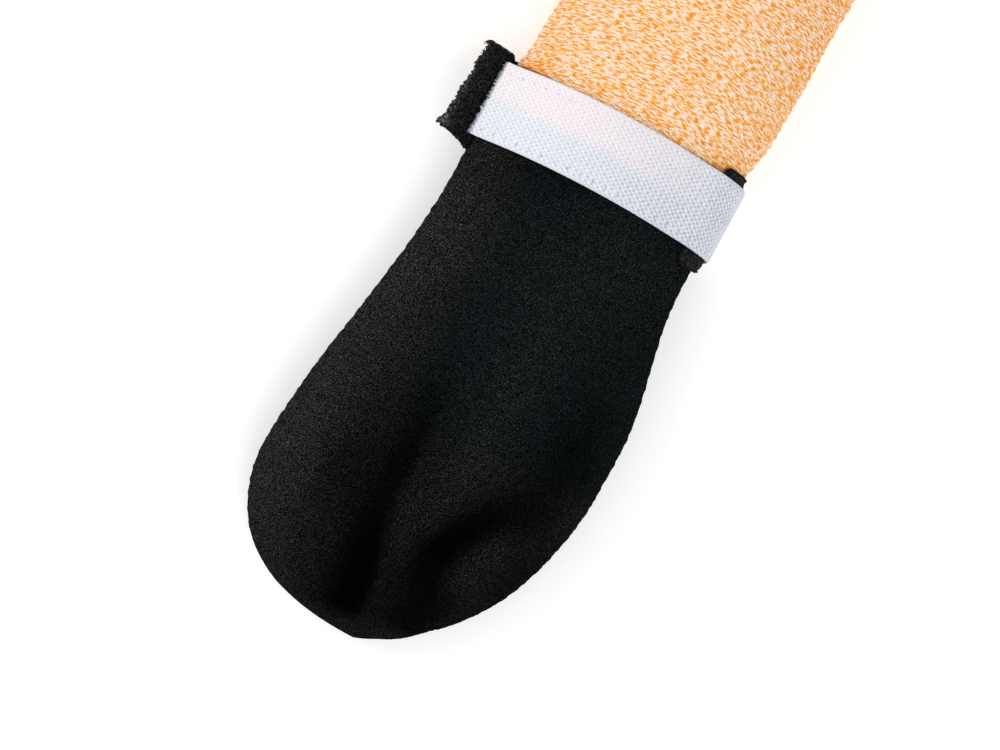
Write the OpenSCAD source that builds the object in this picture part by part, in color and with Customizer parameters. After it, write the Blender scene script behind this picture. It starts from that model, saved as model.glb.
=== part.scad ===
// Soft winter overshoe: a napped bootie with a hook-and-loop ankle strap on a knitted leg sleeve.
// +Z is up, the toe points to -Y and the leg leaves towards +Y.
// The origin is the centre of the resting face of the sole studs.
// Stations are distances from the toe tip along +Y; angles run round a cross-section,
// 0 at the right-hand side seam, 90 at the crown and 180 at the left-hand side seam.

/* [Boot] */
// Distance from the toe tip to the centre of the sole
toe_reach = 70; // [66:1:74]
// Reach of the widest part of the boot left of the centre line
left_lobe = 52; // [48:0.5:56]
// Reach of the widest part of the boot right of the centre line
right_lobe = 45.5; // [42:0.5:49]
// Height of the crown over the instep
crown_top = 46; // [42:1:50]
// Thickness of the napped shell fabric
shell_t = 2.5; // [2.2:0.1:2.8]
// Height of the toe tip above the floor
toe_lift = 9; // [7:0.5:11]

/* [Neck] */
// Reach of the neck left of the centre line
neck_left = 39.8; // [38:0.2:42]
// Reach of the neck right of the centre line
neck_right = 38; // [36:0.2:40]
// Height of the top of the neck
neck_top = 36; // [34:0.5:38]
// Height of the side seams at the neck
seam_height = 19; // [18:0.5:20]
// Station of the cuff edge
cuff_end = 176.5; // [175:0.5:178]
// Width of the turned hem inside the cuff
cuff_hem_w = 12; // [8:1:14]

/* [Ankle strap] */
// Width of the woven tape
strap_w = 25; // [24:0.5:26]
// Thickness of the woven tape
tape_t = 0.8; // [0.6:0.1:1]
// Thickness of the hook strip sewn under the tape
hook_t = 1; // [0.8:0.1:1.2]
// Margin of bare tape beside the hook strip
hook_margin = 2; // [1.5:0.5:3]
// Station of the lower edge of the tape
strap_start = 152.8; // [152:0.2:154]
// Angle at which the sewn end turns into the free strap
peel_angle = 18; // [16:1:20]
// Angle of the first bend line of the free strap
first_bend = 68; // [64:1:72]
// Angle of the second bend line of the free strap
second_bend = 114; // [110:1:118]
// Angle of the cut end of the strap
cut_angle = 161; // [158:1:162]

/* [Loop band] */
// Width of the loop band round the back of the neck
band_w = 32; // [30:0.5:33]
// Thickness of the loop band with its pile
band_t = 2; // [1.8:0.1:2.2]
// Length of the pull tab
tab_length = 9; // [7:0.5:11]
// Angle between the pull tab and the floor
tab_slope = 19; // [15:1:22]

/* [Sole] */
// Half width of the rubber sole patch
sole_half_w = 27; // [24:0.5:28]
// Half length of the rubber sole patch
sole_half_l = 50; // [46:1:52]
// Distance between neighbouring studs in a row
stud_pitch = 10; // [9:0.5:12]
// Radius of a stud at its root
stud_r = 2.6; // [2:0.1:3]

/* [Leg sleeve] */
// Station of the sleeve edge inside the boot
sleeve_start = 131; // [128:1:136]
// Station of the open leg end of the sleeve
sleeve_end = 275; // [262:1:290]
// Thickness of the knitted wall
knit_t = 1.4; // [1.2:0.1:1.6]
// Sideways drift of the sleeve between the cuff and the leg end
sleeve_drift = 3.2; // [0:0.2:4]

/* [Sewing] */
// Spacing of the stitches
stitch_pitch = 4.3; // [3.5:0.1:5]
// Visible length of one stitch
stitch_l = 2.6; // [2:0.1:3]
// Width of the thread
thread_w = 0.6; // [0.4:0.1:0.8]

/* [Hidden] */

// Small gap that keeps neighbouring layers apart
layer_gap = 0.15;
// Gap between the shell and the loop band, and between the tape and bare shell
band_gap = 0.3;
thread_t = 0.3;
patch_t = 1.7;
stud_h = 1.5;
// Underside of the shell, above the studs, the patch and their gap
belly_z = stud_h + layer_gap + patch_t + layer_gap;

// Stations where the outline is widest and where it has settled to the neck
left_peak = 45;
right_peak = 80;
right_flat = 88;
crown_peak = 62;
neck_start = 139;

// Exponents of the rounded toe outline and of the flattened underside
nose_power = 2.5;
left_nose = 0.4;
right_nose = 0.8;
dome_power = 2.2;
belly_power = 3.4;
patch_power = 2.6;

// Cross-section resolution of the lofted shells, and of the extruded tapes in degrees
shell_rows = 24;
half_ring_cols = 24;
arc_step = 3;

sleeve_clearance = 0.5;
hem_t = 1.4;
elastic_t = 0.9;
sleeve_inside = shell_t + layer_gap + hem_t + sleeve_clearance;
sleeve_outside = 0.6;
// Station past which the sleeve keeps one cross-section
sleeve_settled = 232;

strap_t = hook_t + tape_t + layer_gap;
band_start = strap_start - 2.3;
band_front = 35;
band_tail = 172;
anchor_foot = -52;
// Half of the slit left in the strap at a bend line, in degrees
bend_slit = 0.5;
// Angles at which the strap steps down off the band and up onto the pull tab's root
off_band = [37, 52];
onto_tab = [146, 158];
// Distance of a stitch row from the edge of its tape
row_margin = 3;

shell_colour = [0.09, 0.09, 0.095];
pile_colour = [0.12, 0.11, 0.11];
rubber_colour = [0.05, 0.05, 0.05];
tape_colour = [0.9, 0.9, 0.93];
hook_colour = [0.85, 0.86, 0.88];
knit_colour = [0.95, 0.74, 0.5];
hem_colour = [0.93, 0.6, 0.3];
white_thread = [0.8, 0.8, 0.82];
black_thread = [0.15, 0.15, 0.15];

// Smooth step from 0 to 1
function ease(u) = (1 - cos(180 * min(max(u, 0), 1))) / 2;

// Rounded nose: 0 at the tip, 1 where u reaches 1
function nose(u, power, sharpness) = pow(1 - pow(1 - min(max(u, 0), 1), power), sharpness);

function left_reach(s) = s < left_peak
    ? left_lobe * nose(s / left_peak, nose_power, left_nose)
    : left_lobe - (left_lobe - neck_left) * ease((s - left_peak) / (neck_start - left_peak));

function right_reach(s) = s < right_peak
    ? right_lobe * nose(s / right_peak, nose_power, right_nose)
    : right_lobe - (right_lobe - neck_right) * ease((s - right_flat) / (neck_start - right_flat));

// Height of the side seam, which dips to the toe
function seam_z(s) = toe_lift + (seam_height - toe_lift) * ease(s / left_peak);

// Rise of the crown above the seam, and drop of the belly below it
function crown_rise(s) = s < crown_peak
    ? (crown_top - seam_height) * nose(s / crown_peak, dome_power, 0.5)
    : crown_top - seam_height - (crown_top - neck_top) * ease((s - crown_peak) / (neck_start - crown_peak));
function belly_drop(s) = (seam_z(s) - belly_z) * nose(s / (left_peak * 0.7), dome_power, 0.5);

// Point of the boot's cross-section at a station and an angle, moved in by an inset
function ring_point(s, angle, inset) =
    let (c = cos(angle), n = sin(angle))
    let (reach = c >= 0 ? right_reach(s) : left_reach(s))
    let (rise = n >= 0 ? crown_rise(s) : belly_drop(s))
    let (power = n >= 0 ? 1 : 2 / belly_power)
    [
        sign(c) * max(reach - inset, 0.3 * reach) * pow(abs(c), power),
        seam_z(s) + sign(n) * max(rise - inset, 0.02) * pow(abs(n), power)
    ];

// Stations of the lofted shells, closer together at the toe
function shell_station(i) = 0.0001 + cuff_end * pow(i / shell_rows, 2);

// Grid of points of the shell at one inset; the toe wall is thicker by the same inset
function shell_grid(first, last, cols, inset, from_row, to_row) = [
    for (i = [from_row:to_row])
    let (s = shell_station(i))
    let (y = s + inset * (1 - ease(s / left_peak)) - toe_reach)
    [
        for (j = [0:cols])
        let (p = ring_point(s, first + (last - first) * j / cols, inset))
        [p[0], y, p[1]]
    ]
];

// Solid between two grids of points; wrap joins the last column to the first
module sheet(outer, inner, wrap = false) {
    rows = len(outer);
    cols = len(outer[0]);
    last = cols - 1;
    end = rows - 1;
    function at(layer, i, j) = (layer * rows + i) * cols + j % cols;
    function quad(a, b, c, d) = [[a, b, c], [a, c, d]];
    sides = [
        for (i = [0:end - 1], j = [0:wrap ? last : last - 1])
        each concat(
            quad(at(0, i, j), at(0, i, j + 1), at(0, i + 1, j + 1), at(0, i + 1, j)),
            quad(at(1, i, j), at(1, i + 1, j), at(1, i + 1, j + 1), at(1, i, j + 1))
        )
    ];
    ends = [
        for (j = [0:wrap ? last : last - 1])
        each concat(
            quad(at(0, 0, j), at(1, 0, j), at(1, 0, j + 1), at(0, 0, j + 1)),
            quad(at(0, end, j), at(0, end, j + 1), at(1, end, j + 1), at(1, end, j))
        )
    ];
    edges = wrap ? [] : [
        for (i = [0:end - 1])
        each concat(
            quad(at(0, i, 0), at(0, i + 1, 0), at(1, i + 1, 0), at(1, i, 0)),
            quad(at(0, i, last), at(1, i, last), at(1, i + 1, last), at(0, i + 1, last))
        )
    ];
    polyhedron(
        points = [for (grid = [outer, inner], row = grid, p = row) p],
        faces = concat(sides, ends, edges),
        convexity = 6
    );
}

// Shell of the boot between two insets, over a range of angles and rows
module shell_part(first, last, cols, outside, inside, from_row, to_row) {
    sheet(
        shell_grid(first, last, cols, outside, from_row, to_row),
        shell_grid(first, last, cols, inside, from_row, to_row)
    );
}

// Point of the neck's cross-section, moved out by an offset
function neck_point(angle, offset) = ring_point(cuff_end, angle, -offset);

// Extrudes a profile in the XZ plane along Y
module along_y(start, length) {
    translate([0, start + length - toe_reach, 0]) rotate([90, 0, 0]) linear_extrude(length) children();
}

// Tape laid round the neck: offset is a function of the angle
module tape(first, last, offset, thickness, start, width) {
    angles = [for (i = [0:ceil((last - first) / arc_step)]) min(first + i * arc_step, last)];
    count = len(angles);
    inner = [for (a = angles) neck_point(a, offset(a))];
    outer = [for (i = [count - 1:-1:0]) neck_point(angles[i], offset(angles[i]) + thickness)];
    along_y(start, width) polygon(concat(inner, outer));
}

// Closed ring inside a constant stretch of the neck or the sleeve
module ring(inset, thickness, start, width, shift = 0) {
    angles = [for (a = [0:arc_step:360 - arc_step]) a];
    translate([shift, 0, 0]) along_y(start, width) difference() {
        polygon([for (a = angles) neck_point(a, -inset)]);
        polygon([for (a = angles) neck_point(a, -inset - thickness)]);
    }
}

// Running length along a line of points, paired with the index of each point
function running_length(points) = [
    for (i = 0, total = 0; i < len(points);
         i = i + 1, total = total + (i < len(points) ? norm(points[i] - points[i - 1]) : 0))
    [total, i]
];

// Lays one stitch per pitch along a line of points: children() is a stitch heading along +X
module stitch_along(points) {
    table = running_length(points);
    arc = table[len(table) - 1][0];
    count = max(floor(arc / stitch_pitch), 1);
    for (i = [0:count - 1]) {
        at = lookup((i + 0.5) * arc / count, table);
        k = min(floor(at), len(points) - 2);
        heading = points[k + 1] - points[k];
        place = points[k] + (at - k) * heading;
        translate(place) rotate(atan2(heading[1], heading[0])) children();
    }
}

// Row of stitches round the neck, each lying flat on the surface at the offset
module stitch_row(first, last, offset, station, shift = 0) {
    points = [for (a = [first:(last - first) / 60:last + 0.001]) neck_point(a, offset(a))];
    translate([shift, station + thread_w / 2 - toe_reach, 0])
        rotate([90, 0, 0])
        stitch_along(points)
        translate([-stitch_l / 2, -thread_t, 0])
        cube([stitch_l, thread_t, thread_w]);
}

// Gap between the neck and the strap, which rides over the band and over the tab
function strap_gap(a) = band_gap
    + (band_t + layer_gap) * ease((off_band[1] - a) / (off_band[1] - off_band[0]))
    + (band_t + layer_gap) * ease((a - onto_tab[0]) / (onto_tab[1] - onto_tab[0]));
hook_gap = function(a) strap_gap(a);
tape_gap = function(a) strap_gap(a) + hook_t + layer_gap;
top_gap = function(a) strap_gap(a) + strap_t + layer_gap / 3 + thread_t;
band_inner = function(a) band_gap;
band_outer = function(a) band_gap + band_t + layer_gap / 3;
sleeve_face = function(a) layer_gap - sleeve_outside;

// ---- Boot shell ----

module upper_panel() {
    color(shell_colour) shell_part(0.2, 179.8, half_ring_cols, 0, shell_t, 0, shell_rows);
}

module under_panel() {
    color(shell_colour) shell_part(180.2, 359.8, half_ring_cols, 0, shell_t, 0, shell_rows);
}

// Tape sewn over both side seams from the inside
module seam_tape() {
    inset = shell_t + layer_gap;
    first_row = 8;
    last_row = shell_rows - 2;
    color(black_thread) {
        shell_part(-5, 14, 4, inset, inset + 0.5, first_row, last_row);
        shell_part(166, 185, 4, inset, inset + 0.5, first_row, last_row);
    }
}

// Cuff fabric turned in and sewn down
module cuff_hem() {
    color(shell_colour) ring(shell_t + layer_gap, hem_t, cuff_end - cuff_hem_w, cuff_hem_w);
}

// ---- Sole ----

// Point of the sole patch outline, grown by a margin
function patch_point(angle, margin) = [
    sign(cos(angle)) * (sole_half_w + margin) * pow(abs(cos(angle)), 2 / patch_power),
    sign(sin(angle)) * (sole_half_l + margin) * pow(abs(sin(angle)), 2 / patch_power)
];

module sole_patch() {
    color(rubber_colour)
        translate([0, 0, stud_h + layer_gap])
        linear_extrude(patch_t)
        polygon([for (a = [0:4:356]) patch_point(a, 0)]);
}

// True where a stud keeps clear of the patch edge and its stitching
function holds_stud(x, y) =
    pow(abs(x) / (sole_half_w - 6), patch_power) + pow(abs(y) / (sole_half_l - 6), patch_power) <= 1;

// Rubber studs in staggered rows, one of them at the origin
module grip_studs() {
    row_pitch = stud_pitch * sqrt(3) / 2;
    color(rubber_colour)
        for (row = [-6:6], column = [-3:3]) {
            x = (column + (abs(row) % 2) / 2) * stud_pitch;
            y = row * row_pitch;
            if (holds_stud(x, y))
                translate([x, y, 0]) cylinder(h = stud_h, r1 = stud_r * 0.8, r2 = stud_r, $fn = 32);
        }
}

// Stitches along the edge of the patch, on its underside
module sole_stitching() {
    color(black_thread)
        translate([0, 0, stud_h + layer_gap / 3 - thread_t])
        stitch_along([for (a = [0:4:360]) patch_point(a, -2.2)])
        translate([-stitch_l / 2, -thread_w / 2, 0])
        cube([stitch_l, thread_w, thread_t]);
}

// ---- Loop band and pull tab ----

module loop_band() {
    color(pile_colour) tape(band_tail - 360, band_front, band_inner, band_t, band_start, band_w);
}

// Two rows of stitches that hold the band round the back of the neck, up to the strap's sewn end
module band_stitching() {
    color(black_thread)
        for (edge = [row_margin, band_w - 11])
            stitch_row(-170, anchor_foot - 4, function(a) band_outer(a) + thread_t, band_start + edge);
}

// Where the pull tab folds out of the band, on the band's outer face
tab_root = neck_point(band_tail, band_gap + band_t + layer_gap);

// Dense stitches across the band just below the fold
module tab_bar_tack() {
    face = neck_point(180, band_outer(180) + thread_t);
    color(black_thread)
        for (i = [0:9])
            translate([face[0], band_start + 4.5 + i * 2.6 - toe_reach, face[1] - stitch_l - layer_gap])
            cube([thread_t, thread_w, stitch_l]);
}

// Free end of the loop tape, standing out from the left side of the neck
module pull_tab() {
    color(pile_colour)
        translate([tab_root[0], 0, tab_root[1]])
        rotate([0, tab_slope, 0])
        translate([-tab_length, band_start - toe_reach, layer_gap])
        cube([tab_length, band_w, band_t]);
}

// ---- Ankle strap ----

module strap_anchor() {
    color(tape_colour)
        tape(anchor_foot, peel_angle - bend_slit, function(a) band_gap + band_t + layer_gap, strap_t,
             strap_start, strap_w);
}

// Two rows of stitches along the strap that fix its sewn end to the band
module anchor_stitching() {
    lift = function(a) band_gap + band_t + strap_t + layer_gap * 4 / 3 + thread_t;
    color(white_thread)
        for (station = [row_margin, strap_w - row_margin])
            stitch_row(-14, 10, lift, strap_start + station);
}

// One length of the woven tape between two bend lines
module strap_length(first, last) {
    color(tape_colour)
        tape(first + bend_slit, last - bend_slit, tape_gap, tape_t, strap_start, strap_w);
}

// Hook strip under one length of tape
module hook_length(first, last) {
    color(hook_colour)
        tape(first + bend_slit, last - bend_slit, hook_gap, hook_t,
             strap_start + hook_margin, strap_w - 2 * hook_margin);
}

// Stitches that join the hook strip to one length of tape, along both edges
module stitched_length(first, last) {
    margin = 4;
    color(white_thread)
        for (station = [row_margin, strap_w - row_margin])
            stitch_row(first + margin, last - margin, top_gap, strap_start + station);
}

module strap_root() { strap_length(peel_angle, first_bend); }
module strap_middle() { strap_length(first_bend, second_bend); }
module strap_tip() { strap_length(second_bend, cut_angle); }
module hooks_root() { hook_length(peel_angle, first_bend); }
module hooks_middle() { hook_length(first_bend, second_bend); }
module hooks_tip() { hook_length(second_bend, cut_angle); }
module stitching_root() { stitched_length(peel_angle, first_bend); }
module stitching_middle() { stitched_length(first_bend, second_bend); }
module stitching_tip() { stitched_length(second_bend, cut_angle); }

// ---- Leg sleeve ----

// Inset and sideways shift of the sleeve, which swells once it has left the cuff
function sleeve_inset(s) = sleeve_inside + (sleeve_outside - sleeve_inside) * ease((s - cuff_end - 0.5) / 9);
function sleeve_shift(s) = sleeve_drift * ease((s - cuff_end - 0.5) / (sleeve_settled - cuff_end));

module knit_sleeve() {
    stations = concat(
        [sleeve_start, cuff_end],
        [for (i = [1:6]) cuff_end + 0.5 + i * 1.5],
        [for (i = [1:5]) cuff_end + 9.5 + i * (sleeve_settled - cuff_end - 9.5) / 5],
        [sleeve_end]
    );
    function grid(extra) = [
        for (s = stations) [
            for (a = [0:7.5:352.5])
            let (p = neck_point(a, -sleeve_inset(s) - extra))
            [p[0] + sleeve_shift(s), s - toe_reach, p[1]]
        ]
    ];
    color(knit_colour) sheet(grid(0), grid(knit_t), wrap = true);
}

// Overlocked edge of the sleeve inside the boot
module foot_hem() {
    color(hem_colour) ring(sleeve_inside + knit_t + layer_gap, 1, sleeve_start + 0.5, 8);
}

// Elastic that the leg end of the sleeve is turned over
module hem_elastic() {
    color(white_thread)
        ring(sleeve_outside + knit_t + layer_gap, elastic_t, sleeve_end - 11, 8, sleeve_drift);
}

// Sleeve fabric turned in over the elastic
module leg_hem() {
    color(hem_colour)
        ring(sleeve_outside + knit_t + elastic_t + 2 * layer_gap, 1, sleeve_end - 13, 12.5, sleeve_drift);
}

// Stitches that hold the leg hem
module hem_stitching() {
    color(hem_colour)
        for (half = [0, 180])
            stitch_row(half + 2, half + 178, sleeve_face, sleeve_end - 12, sleeve_drift);
}

upper_panel();
under_panel();
seam_tape();
cuff_hem();
sole_patch();
grip_studs();
sole_stitching();
loop_band();
band_stitching();
tab_bar_tack();
pull_tab();
strap_anchor();
anchor_stitching();
strap_root();
strap_middle();
strap_tip();
hooks_root();
hooks_middle();
hooks_tip();
stitching_root();
stitching_middle();
stitching_tip();
knit_sleeve();
foot_hem();
leg_hem();
hem_elastic();
hem_stitching();
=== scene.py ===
"""The looks of the winter overshoe: napped shell, woven ankle strap, loop-pile band and marl knit sleeve.

Lengths are in metres in the row frame: +Z up, the toe points to -Y, the leg leaves towards +Y.
A station is a distance from the toe tip along +Y. Angles run round a cross-section: 0 at the
right-hand side seam, 90 at the crown, 180 at the left-hand side seam, 270 at the underside.
"""
import math

import bpy
import numpy as np
from mathutils import Matrix, Vector
from mathutils.kdtree import KDTree


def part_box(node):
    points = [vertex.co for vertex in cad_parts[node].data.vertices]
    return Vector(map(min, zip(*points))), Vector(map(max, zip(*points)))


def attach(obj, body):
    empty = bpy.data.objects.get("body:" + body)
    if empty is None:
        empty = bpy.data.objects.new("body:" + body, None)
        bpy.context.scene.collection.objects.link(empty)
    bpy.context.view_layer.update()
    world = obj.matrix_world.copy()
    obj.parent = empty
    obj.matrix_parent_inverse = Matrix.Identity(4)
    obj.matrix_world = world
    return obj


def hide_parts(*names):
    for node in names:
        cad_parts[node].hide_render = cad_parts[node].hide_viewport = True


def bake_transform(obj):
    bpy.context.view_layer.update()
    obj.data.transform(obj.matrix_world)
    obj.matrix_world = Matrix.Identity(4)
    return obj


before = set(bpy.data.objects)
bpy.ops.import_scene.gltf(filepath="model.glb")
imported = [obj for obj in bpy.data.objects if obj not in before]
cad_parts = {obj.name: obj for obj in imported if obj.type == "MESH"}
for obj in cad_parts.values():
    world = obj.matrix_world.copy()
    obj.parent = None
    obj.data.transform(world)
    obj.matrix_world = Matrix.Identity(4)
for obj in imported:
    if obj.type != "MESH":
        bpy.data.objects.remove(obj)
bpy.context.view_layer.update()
MM = 0.001

# ---- sizes, worked out from the frame

shell_lo, shell_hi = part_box("upper_panel")
band_lo, band_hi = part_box("loop_band")
tape_lo, tape_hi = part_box("strap_middle")
sleeve_lo, sleeve_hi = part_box("knit_sleeve")
patch_lo, patch_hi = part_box("sole_patch")

TOE_Y = shell_lo.y
BOOT_L = shell_hi.y - TOE_Y
TOE_Z = shell_lo.z
CROWN_Z = shell_hi.z
LEFT_LOBE = -shell_lo.x
RIGHT_LOBE = shell_hi.x

# Thicknesses of the layers and the gaps between them
SHELL_T = 2.5 * MM
HOOK_T = 1.0 * MM
TAPE_T = 0.8 * MM
BAND_T = 2.0 * MM
KNIT_T = 1.4 * MM
HEM_T = 1.4 * MM
LAYER_GAP = 0.15 * MM
BAND_GAP = 0.3 * MM
# Farther from an edge than its effect reaches
FAR = 1.0

# The cloth bulges a little past the neck's nominal width on the left
NECK_BULGE = 0.3 * MM
NECK_LEFT = -band_lo.x - BAND_T - BAND_GAP + NECK_BULGE
NECK_RIGHT = band_hi.x - BAND_T - BAND_GAP
NECK_TOP = tape_hi.z - BAND_GAP - HOOK_T - LAYER_GAP - TAPE_T
SEAM_Z = 19 * MM
BELLY_Z = patch_hi.z + LAYER_GAP
STRAP_Y = tape_lo.y
# Woven edges draw in, so the tape is a little narrower than its nominal width
STRAP_DRAW_IN = 0.6 * MM
STRAP_W = tape_hi.y - tape_lo.y - STRAP_DRAW_IN
BAND_Y = band_lo.y
BAND_W = band_hi.y - band_lo.y

# Stations where the outline is widest or highest, and where it starts to narrow
LEFT_PEAK = 45 * MM
LEFT_TAPER = 35 * MM
RIGHT_PEAK = 80 * MM
RIGHT_FLAT = 88 * MM
CROWN_PEAK = 62 * MM
NECK_START = 143 * MM


# ---- small maths

def ease(u):
    """Smooth step from 0 to 1."""
    return (1 - np.cos(np.pi * np.clip(u, 0, 1))) / 2


def nose(u, power, sharpness):
    """Rounded nose: 0 at the tip, 1 where u reaches 1."""
    return (1 - (1 - np.clip(u, 0, 1)) ** power) ** sharpness


def bell(distance, width):
    """Bell curve: 1 at no distance, falling off over a width."""
    return np.exp(-0.5 * (distance / width) ** 2)


def ramp(value, start, length):
    """Smooth step from 0 to 1 as a value passes start and takes length; both are in millimetres."""
    return ease((value - start * MM) / (length * MM))


def hump(value, middle, width):
    """Bell curve of a value about a middle; middle and width are in millimetres."""
    return bell(value - middle * MM, width * MM)


def wave(value, pitch):
    """Cosine wave with one crest every pitch."""
    return np.cos(2 * math.pi * value / pitch)


def turned(angle):
    """Cosine and sine of an angle in degrees."""
    return np.cos(np.radians(angle)), np.sin(np.radians(angle))


def lattice(first, last, rows, start, end, cols):
    """Two grids of evenly spaced values: one from first to last by rows, one from start to end by columns."""
    return np.meshgrid(np.linspace(first, last, rows), np.linspace(start, end, cols), indexing="ij")


def xyz(x, y, z):
    """Points from arrays of coordinates, which are spread to one shape."""
    return np.stack(np.broadcast_arrays(x, y, z), -1)


def ripple(a, b, scale, seed, waves=9):
    """Smooth pseudo-random field over two coordinates, about -1 to 1, with features of about that scale."""
    rng = np.random.default_rng(seed)
    total = np.zeros(np.broadcast(a, b).shape)
    for _ in range(waves):
        heading = rng.uniform(0, 2 * math.pi)
        pitch = scale * rng.uniform(0.7, 1.6)
        phase = rng.uniform(0, 2 * math.pi)
        total += np.sin(2 * math.pi * (a * math.cos(heading) + b * math.sin(heading)) / pitch + phase)
    return total / math.sqrt(waves)


# ---- cross-section of the boot and the neck

def left_reach(s):
    """Half width left of the middle at a station."""
    taper = (LEFT_LOBE - NECK_LEFT) * ease((s - LEFT_TAPER) / (NECK_START - LEFT_TAPER))
    return LEFT_LOBE * nose(s / LEFT_PEAK, 2.5, 0.4) - taper


def right_reach(s):
    """Half width right of the middle at a station."""
    flattened = 0.7 * MM * hump(s, 47, 14)
    toe = RIGHT_LOBE * nose(s / RIGHT_PEAK, 2.5, 0.8) - flattened
    rest = RIGHT_LOBE - (RIGHT_LOBE - NECK_RIGHT) * ease((s - RIGHT_FLAT) / (NECK_START - RIGHT_FLAT))
    return np.where(s < RIGHT_PEAK, toe, rest)


def seam_z(s):
    """Height of the side seams."""
    return TOE_Z + (SEAM_Z - TOE_Z) * ease(s / LEFT_PEAK)


def crown_rise(s):
    """Height of the crown above the seams."""
    toe = (CROWN_Z - SEAM_Z) * nose(s / CROWN_PEAK, 2.2, 0.5)
    rest = CROWN_Z - SEAM_Z - (CROWN_Z - NECK_TOP) * ease((s - CROWN_PEAK) / (NECK_START - CROWN_PEAK))
    return np.where(s < CROWN_PEAK, toe, rest)


def belly_drop(s):
    """Depth of the underside below the seams."""
    return (seam_z(s) - BELLY_Z) * nose(s / (LEFT_PEAK * 0.7), 2.2, 0.5)


def ring_point(s, angle, inset):
    """x and z of the boot's cross-section at a station and an angle in degrees, moved in by an inset."""
    c, n = turned(angle)
    reach = np.where(c >= 0, right_reach(s), left_reach(s))
    rise = np.where(n >= 0, crown_rise(s), belly_drop(s))
    power = np.where(n >= 0, 1.0, 2 / 3.4)
    x = np.sign(c) * np.maximum(reach - inset, 0.3 * reach) * np.abs(c) ** power
    z = seam_z(s) + np.sign(n) * np.maximum(rise - inset, 0.02 * MM) * np.abs(n) ** power
    return x, z


# Points in a finely measured outline of the neck
AROUND = 1441


def neck_point(angle, offset):
    """x and z of the neck's cross-section at an angle, moved out by an offset."""
    return ring_point(np.full(np.shape(angle), BOOT_L), angle, -offset)


def distances(x, z):
    """Distance along a line of points, at each of them."""
    return np.concatenate([[0], np.cumsum(np.hypot(np.diff(x), np.diff(z)))])


class Path:
    """A line in the XZ plane, measured by its own length, with a normal that points outwards."""

    def __init__(self, x, z):
        self.u = distances(x, z)
        self.length = self.u[-1]
        self.x, self.z = x, z
        tx, tz = np.gradient(x, self.u), np.gradient(z, self.u)
        size = np.hypot(tx, tz)
        self.nx, self.nz = tz / size, -tx / size

    def at(self, u, lift):
        """x and z at length u, lifted off the line by lift."""
        x = np.interp(u, self.u, self.x) + lift * np.interp(u, self.u, self.nx)
        z = np.interp(u, self.u, self.z) + lift * np.interp(u, self.u, self.nz)
        return x, z

    def points(self, u, lift, y):
        """Points at length u, lifted off the line by lift, at y."""
        x, z = self.at(u, lift)
        return xyz(x, y, z)


# ---- mesh building

def mesh_object(name, points, faces, smooth=True):
    """Object from an array of points and a list of face arrays, each (count, corners)."""
    mesh = bpy.data.meshes.new(name)
    mesh.vertices.add(len(points))
    mesh.vertices.foreach_set("co", np.asarray(points, np.float32).ravel())
    corners = np.concatenate([f.ravel() for f in faces])
    sizes = np.concatenate([np.full(len(f), f.shape[1]) for f in faces])
    starts = np.concatenate([[0], np.cumsum(sizes)[:-1]])
    mesh.loops.add(len(corners))
    mesh.loops.foreach_set("vertex_index", corners.astype(np.int32))
    mesh.polygons.add(len(sizes))
    mesh.polygons.foreach_set("loop_start", starts.astype(np.int32))
    mesh.polygons.foreach_set("use_smooth", np.full(len(sizes), smooth))
    mesh.update(calc_edges=True)
    mesh.validate()
    obj = bpy.data.objects.new(name, mesh)
    bpy.context.scene.collection.objects.link(obj)
    return obj


def mesh_points(mesh):
    """Points of a mesh as an array."""
    flat = np.empty(len(mesh.vertices) * 3, np.float32)
    mesh.vertices.foreach_get("co", flat)
    return flat.reshape(-1, 3).astype(float)


def grid_quads(rows, cols, wrap):
    """Quads of a rows by cols grid of points, wound so that a ring of rising angle faces outwards."""
    i, j = np.meshgrid(np.arange(rows - 1), np.arange(cols if wrap else cols - 1), indexing="ij")
    k = (j + 1) % cols
    return np.stack([i * cols + j, (i + 1) * cols + j, (i + 1) * cols + k, i * cols + k], -1).reshape(-1, 4)


def closed_sheet(name, outer, inner, wrap=False):
    """Solid between two grids of points with crisp edges; a wrapped inner grid may have fewer rows."""
    rows, cols = outer.shape[:2]
    inner_rows = inner.shape[0]
    base = rows * cols
    top = grid_quads(rows, cols, wrap)
    below = grid_quads(inner_rows, cols, wrap)[:, ::-1] + base
    j = np.arange(cols if wrap else cols - 1)
    k = (j + 1) % cols
    start = np.stack([j, k, base + k, base + j], -1)
    o_end, i_end = (rows - 1) * cols, base + (inner_rows - 1) * cols
    finish = np.stack([o_end + k, o_end + j, i_end + j, i_end + k], -1)
    faces = [top, below, start, finish]
    points = [outer.reshape(-1, 3), inner.reshape(-1, 3)]
    if not wrap:
        # the end faces have corners of their own, so the sheet's shading runs straight up to its cut
        i = np.arange(rows - 1)
        own = base + inner_rows * cols
        points += [outer[:, 0], inner[:, 0], outer[:, -1], inner[:, -1]]
        first, last = own + i, own + 2 * rows + i
        faces.append(np.stack([first + 1, first, first + rows, first + rows + 1], -1))
        faces.append(np.stack([last, last + 1, last + rows + 1, last + rows], -1))
    return mesh_object(name, np.concatenate(points), faces)


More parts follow.
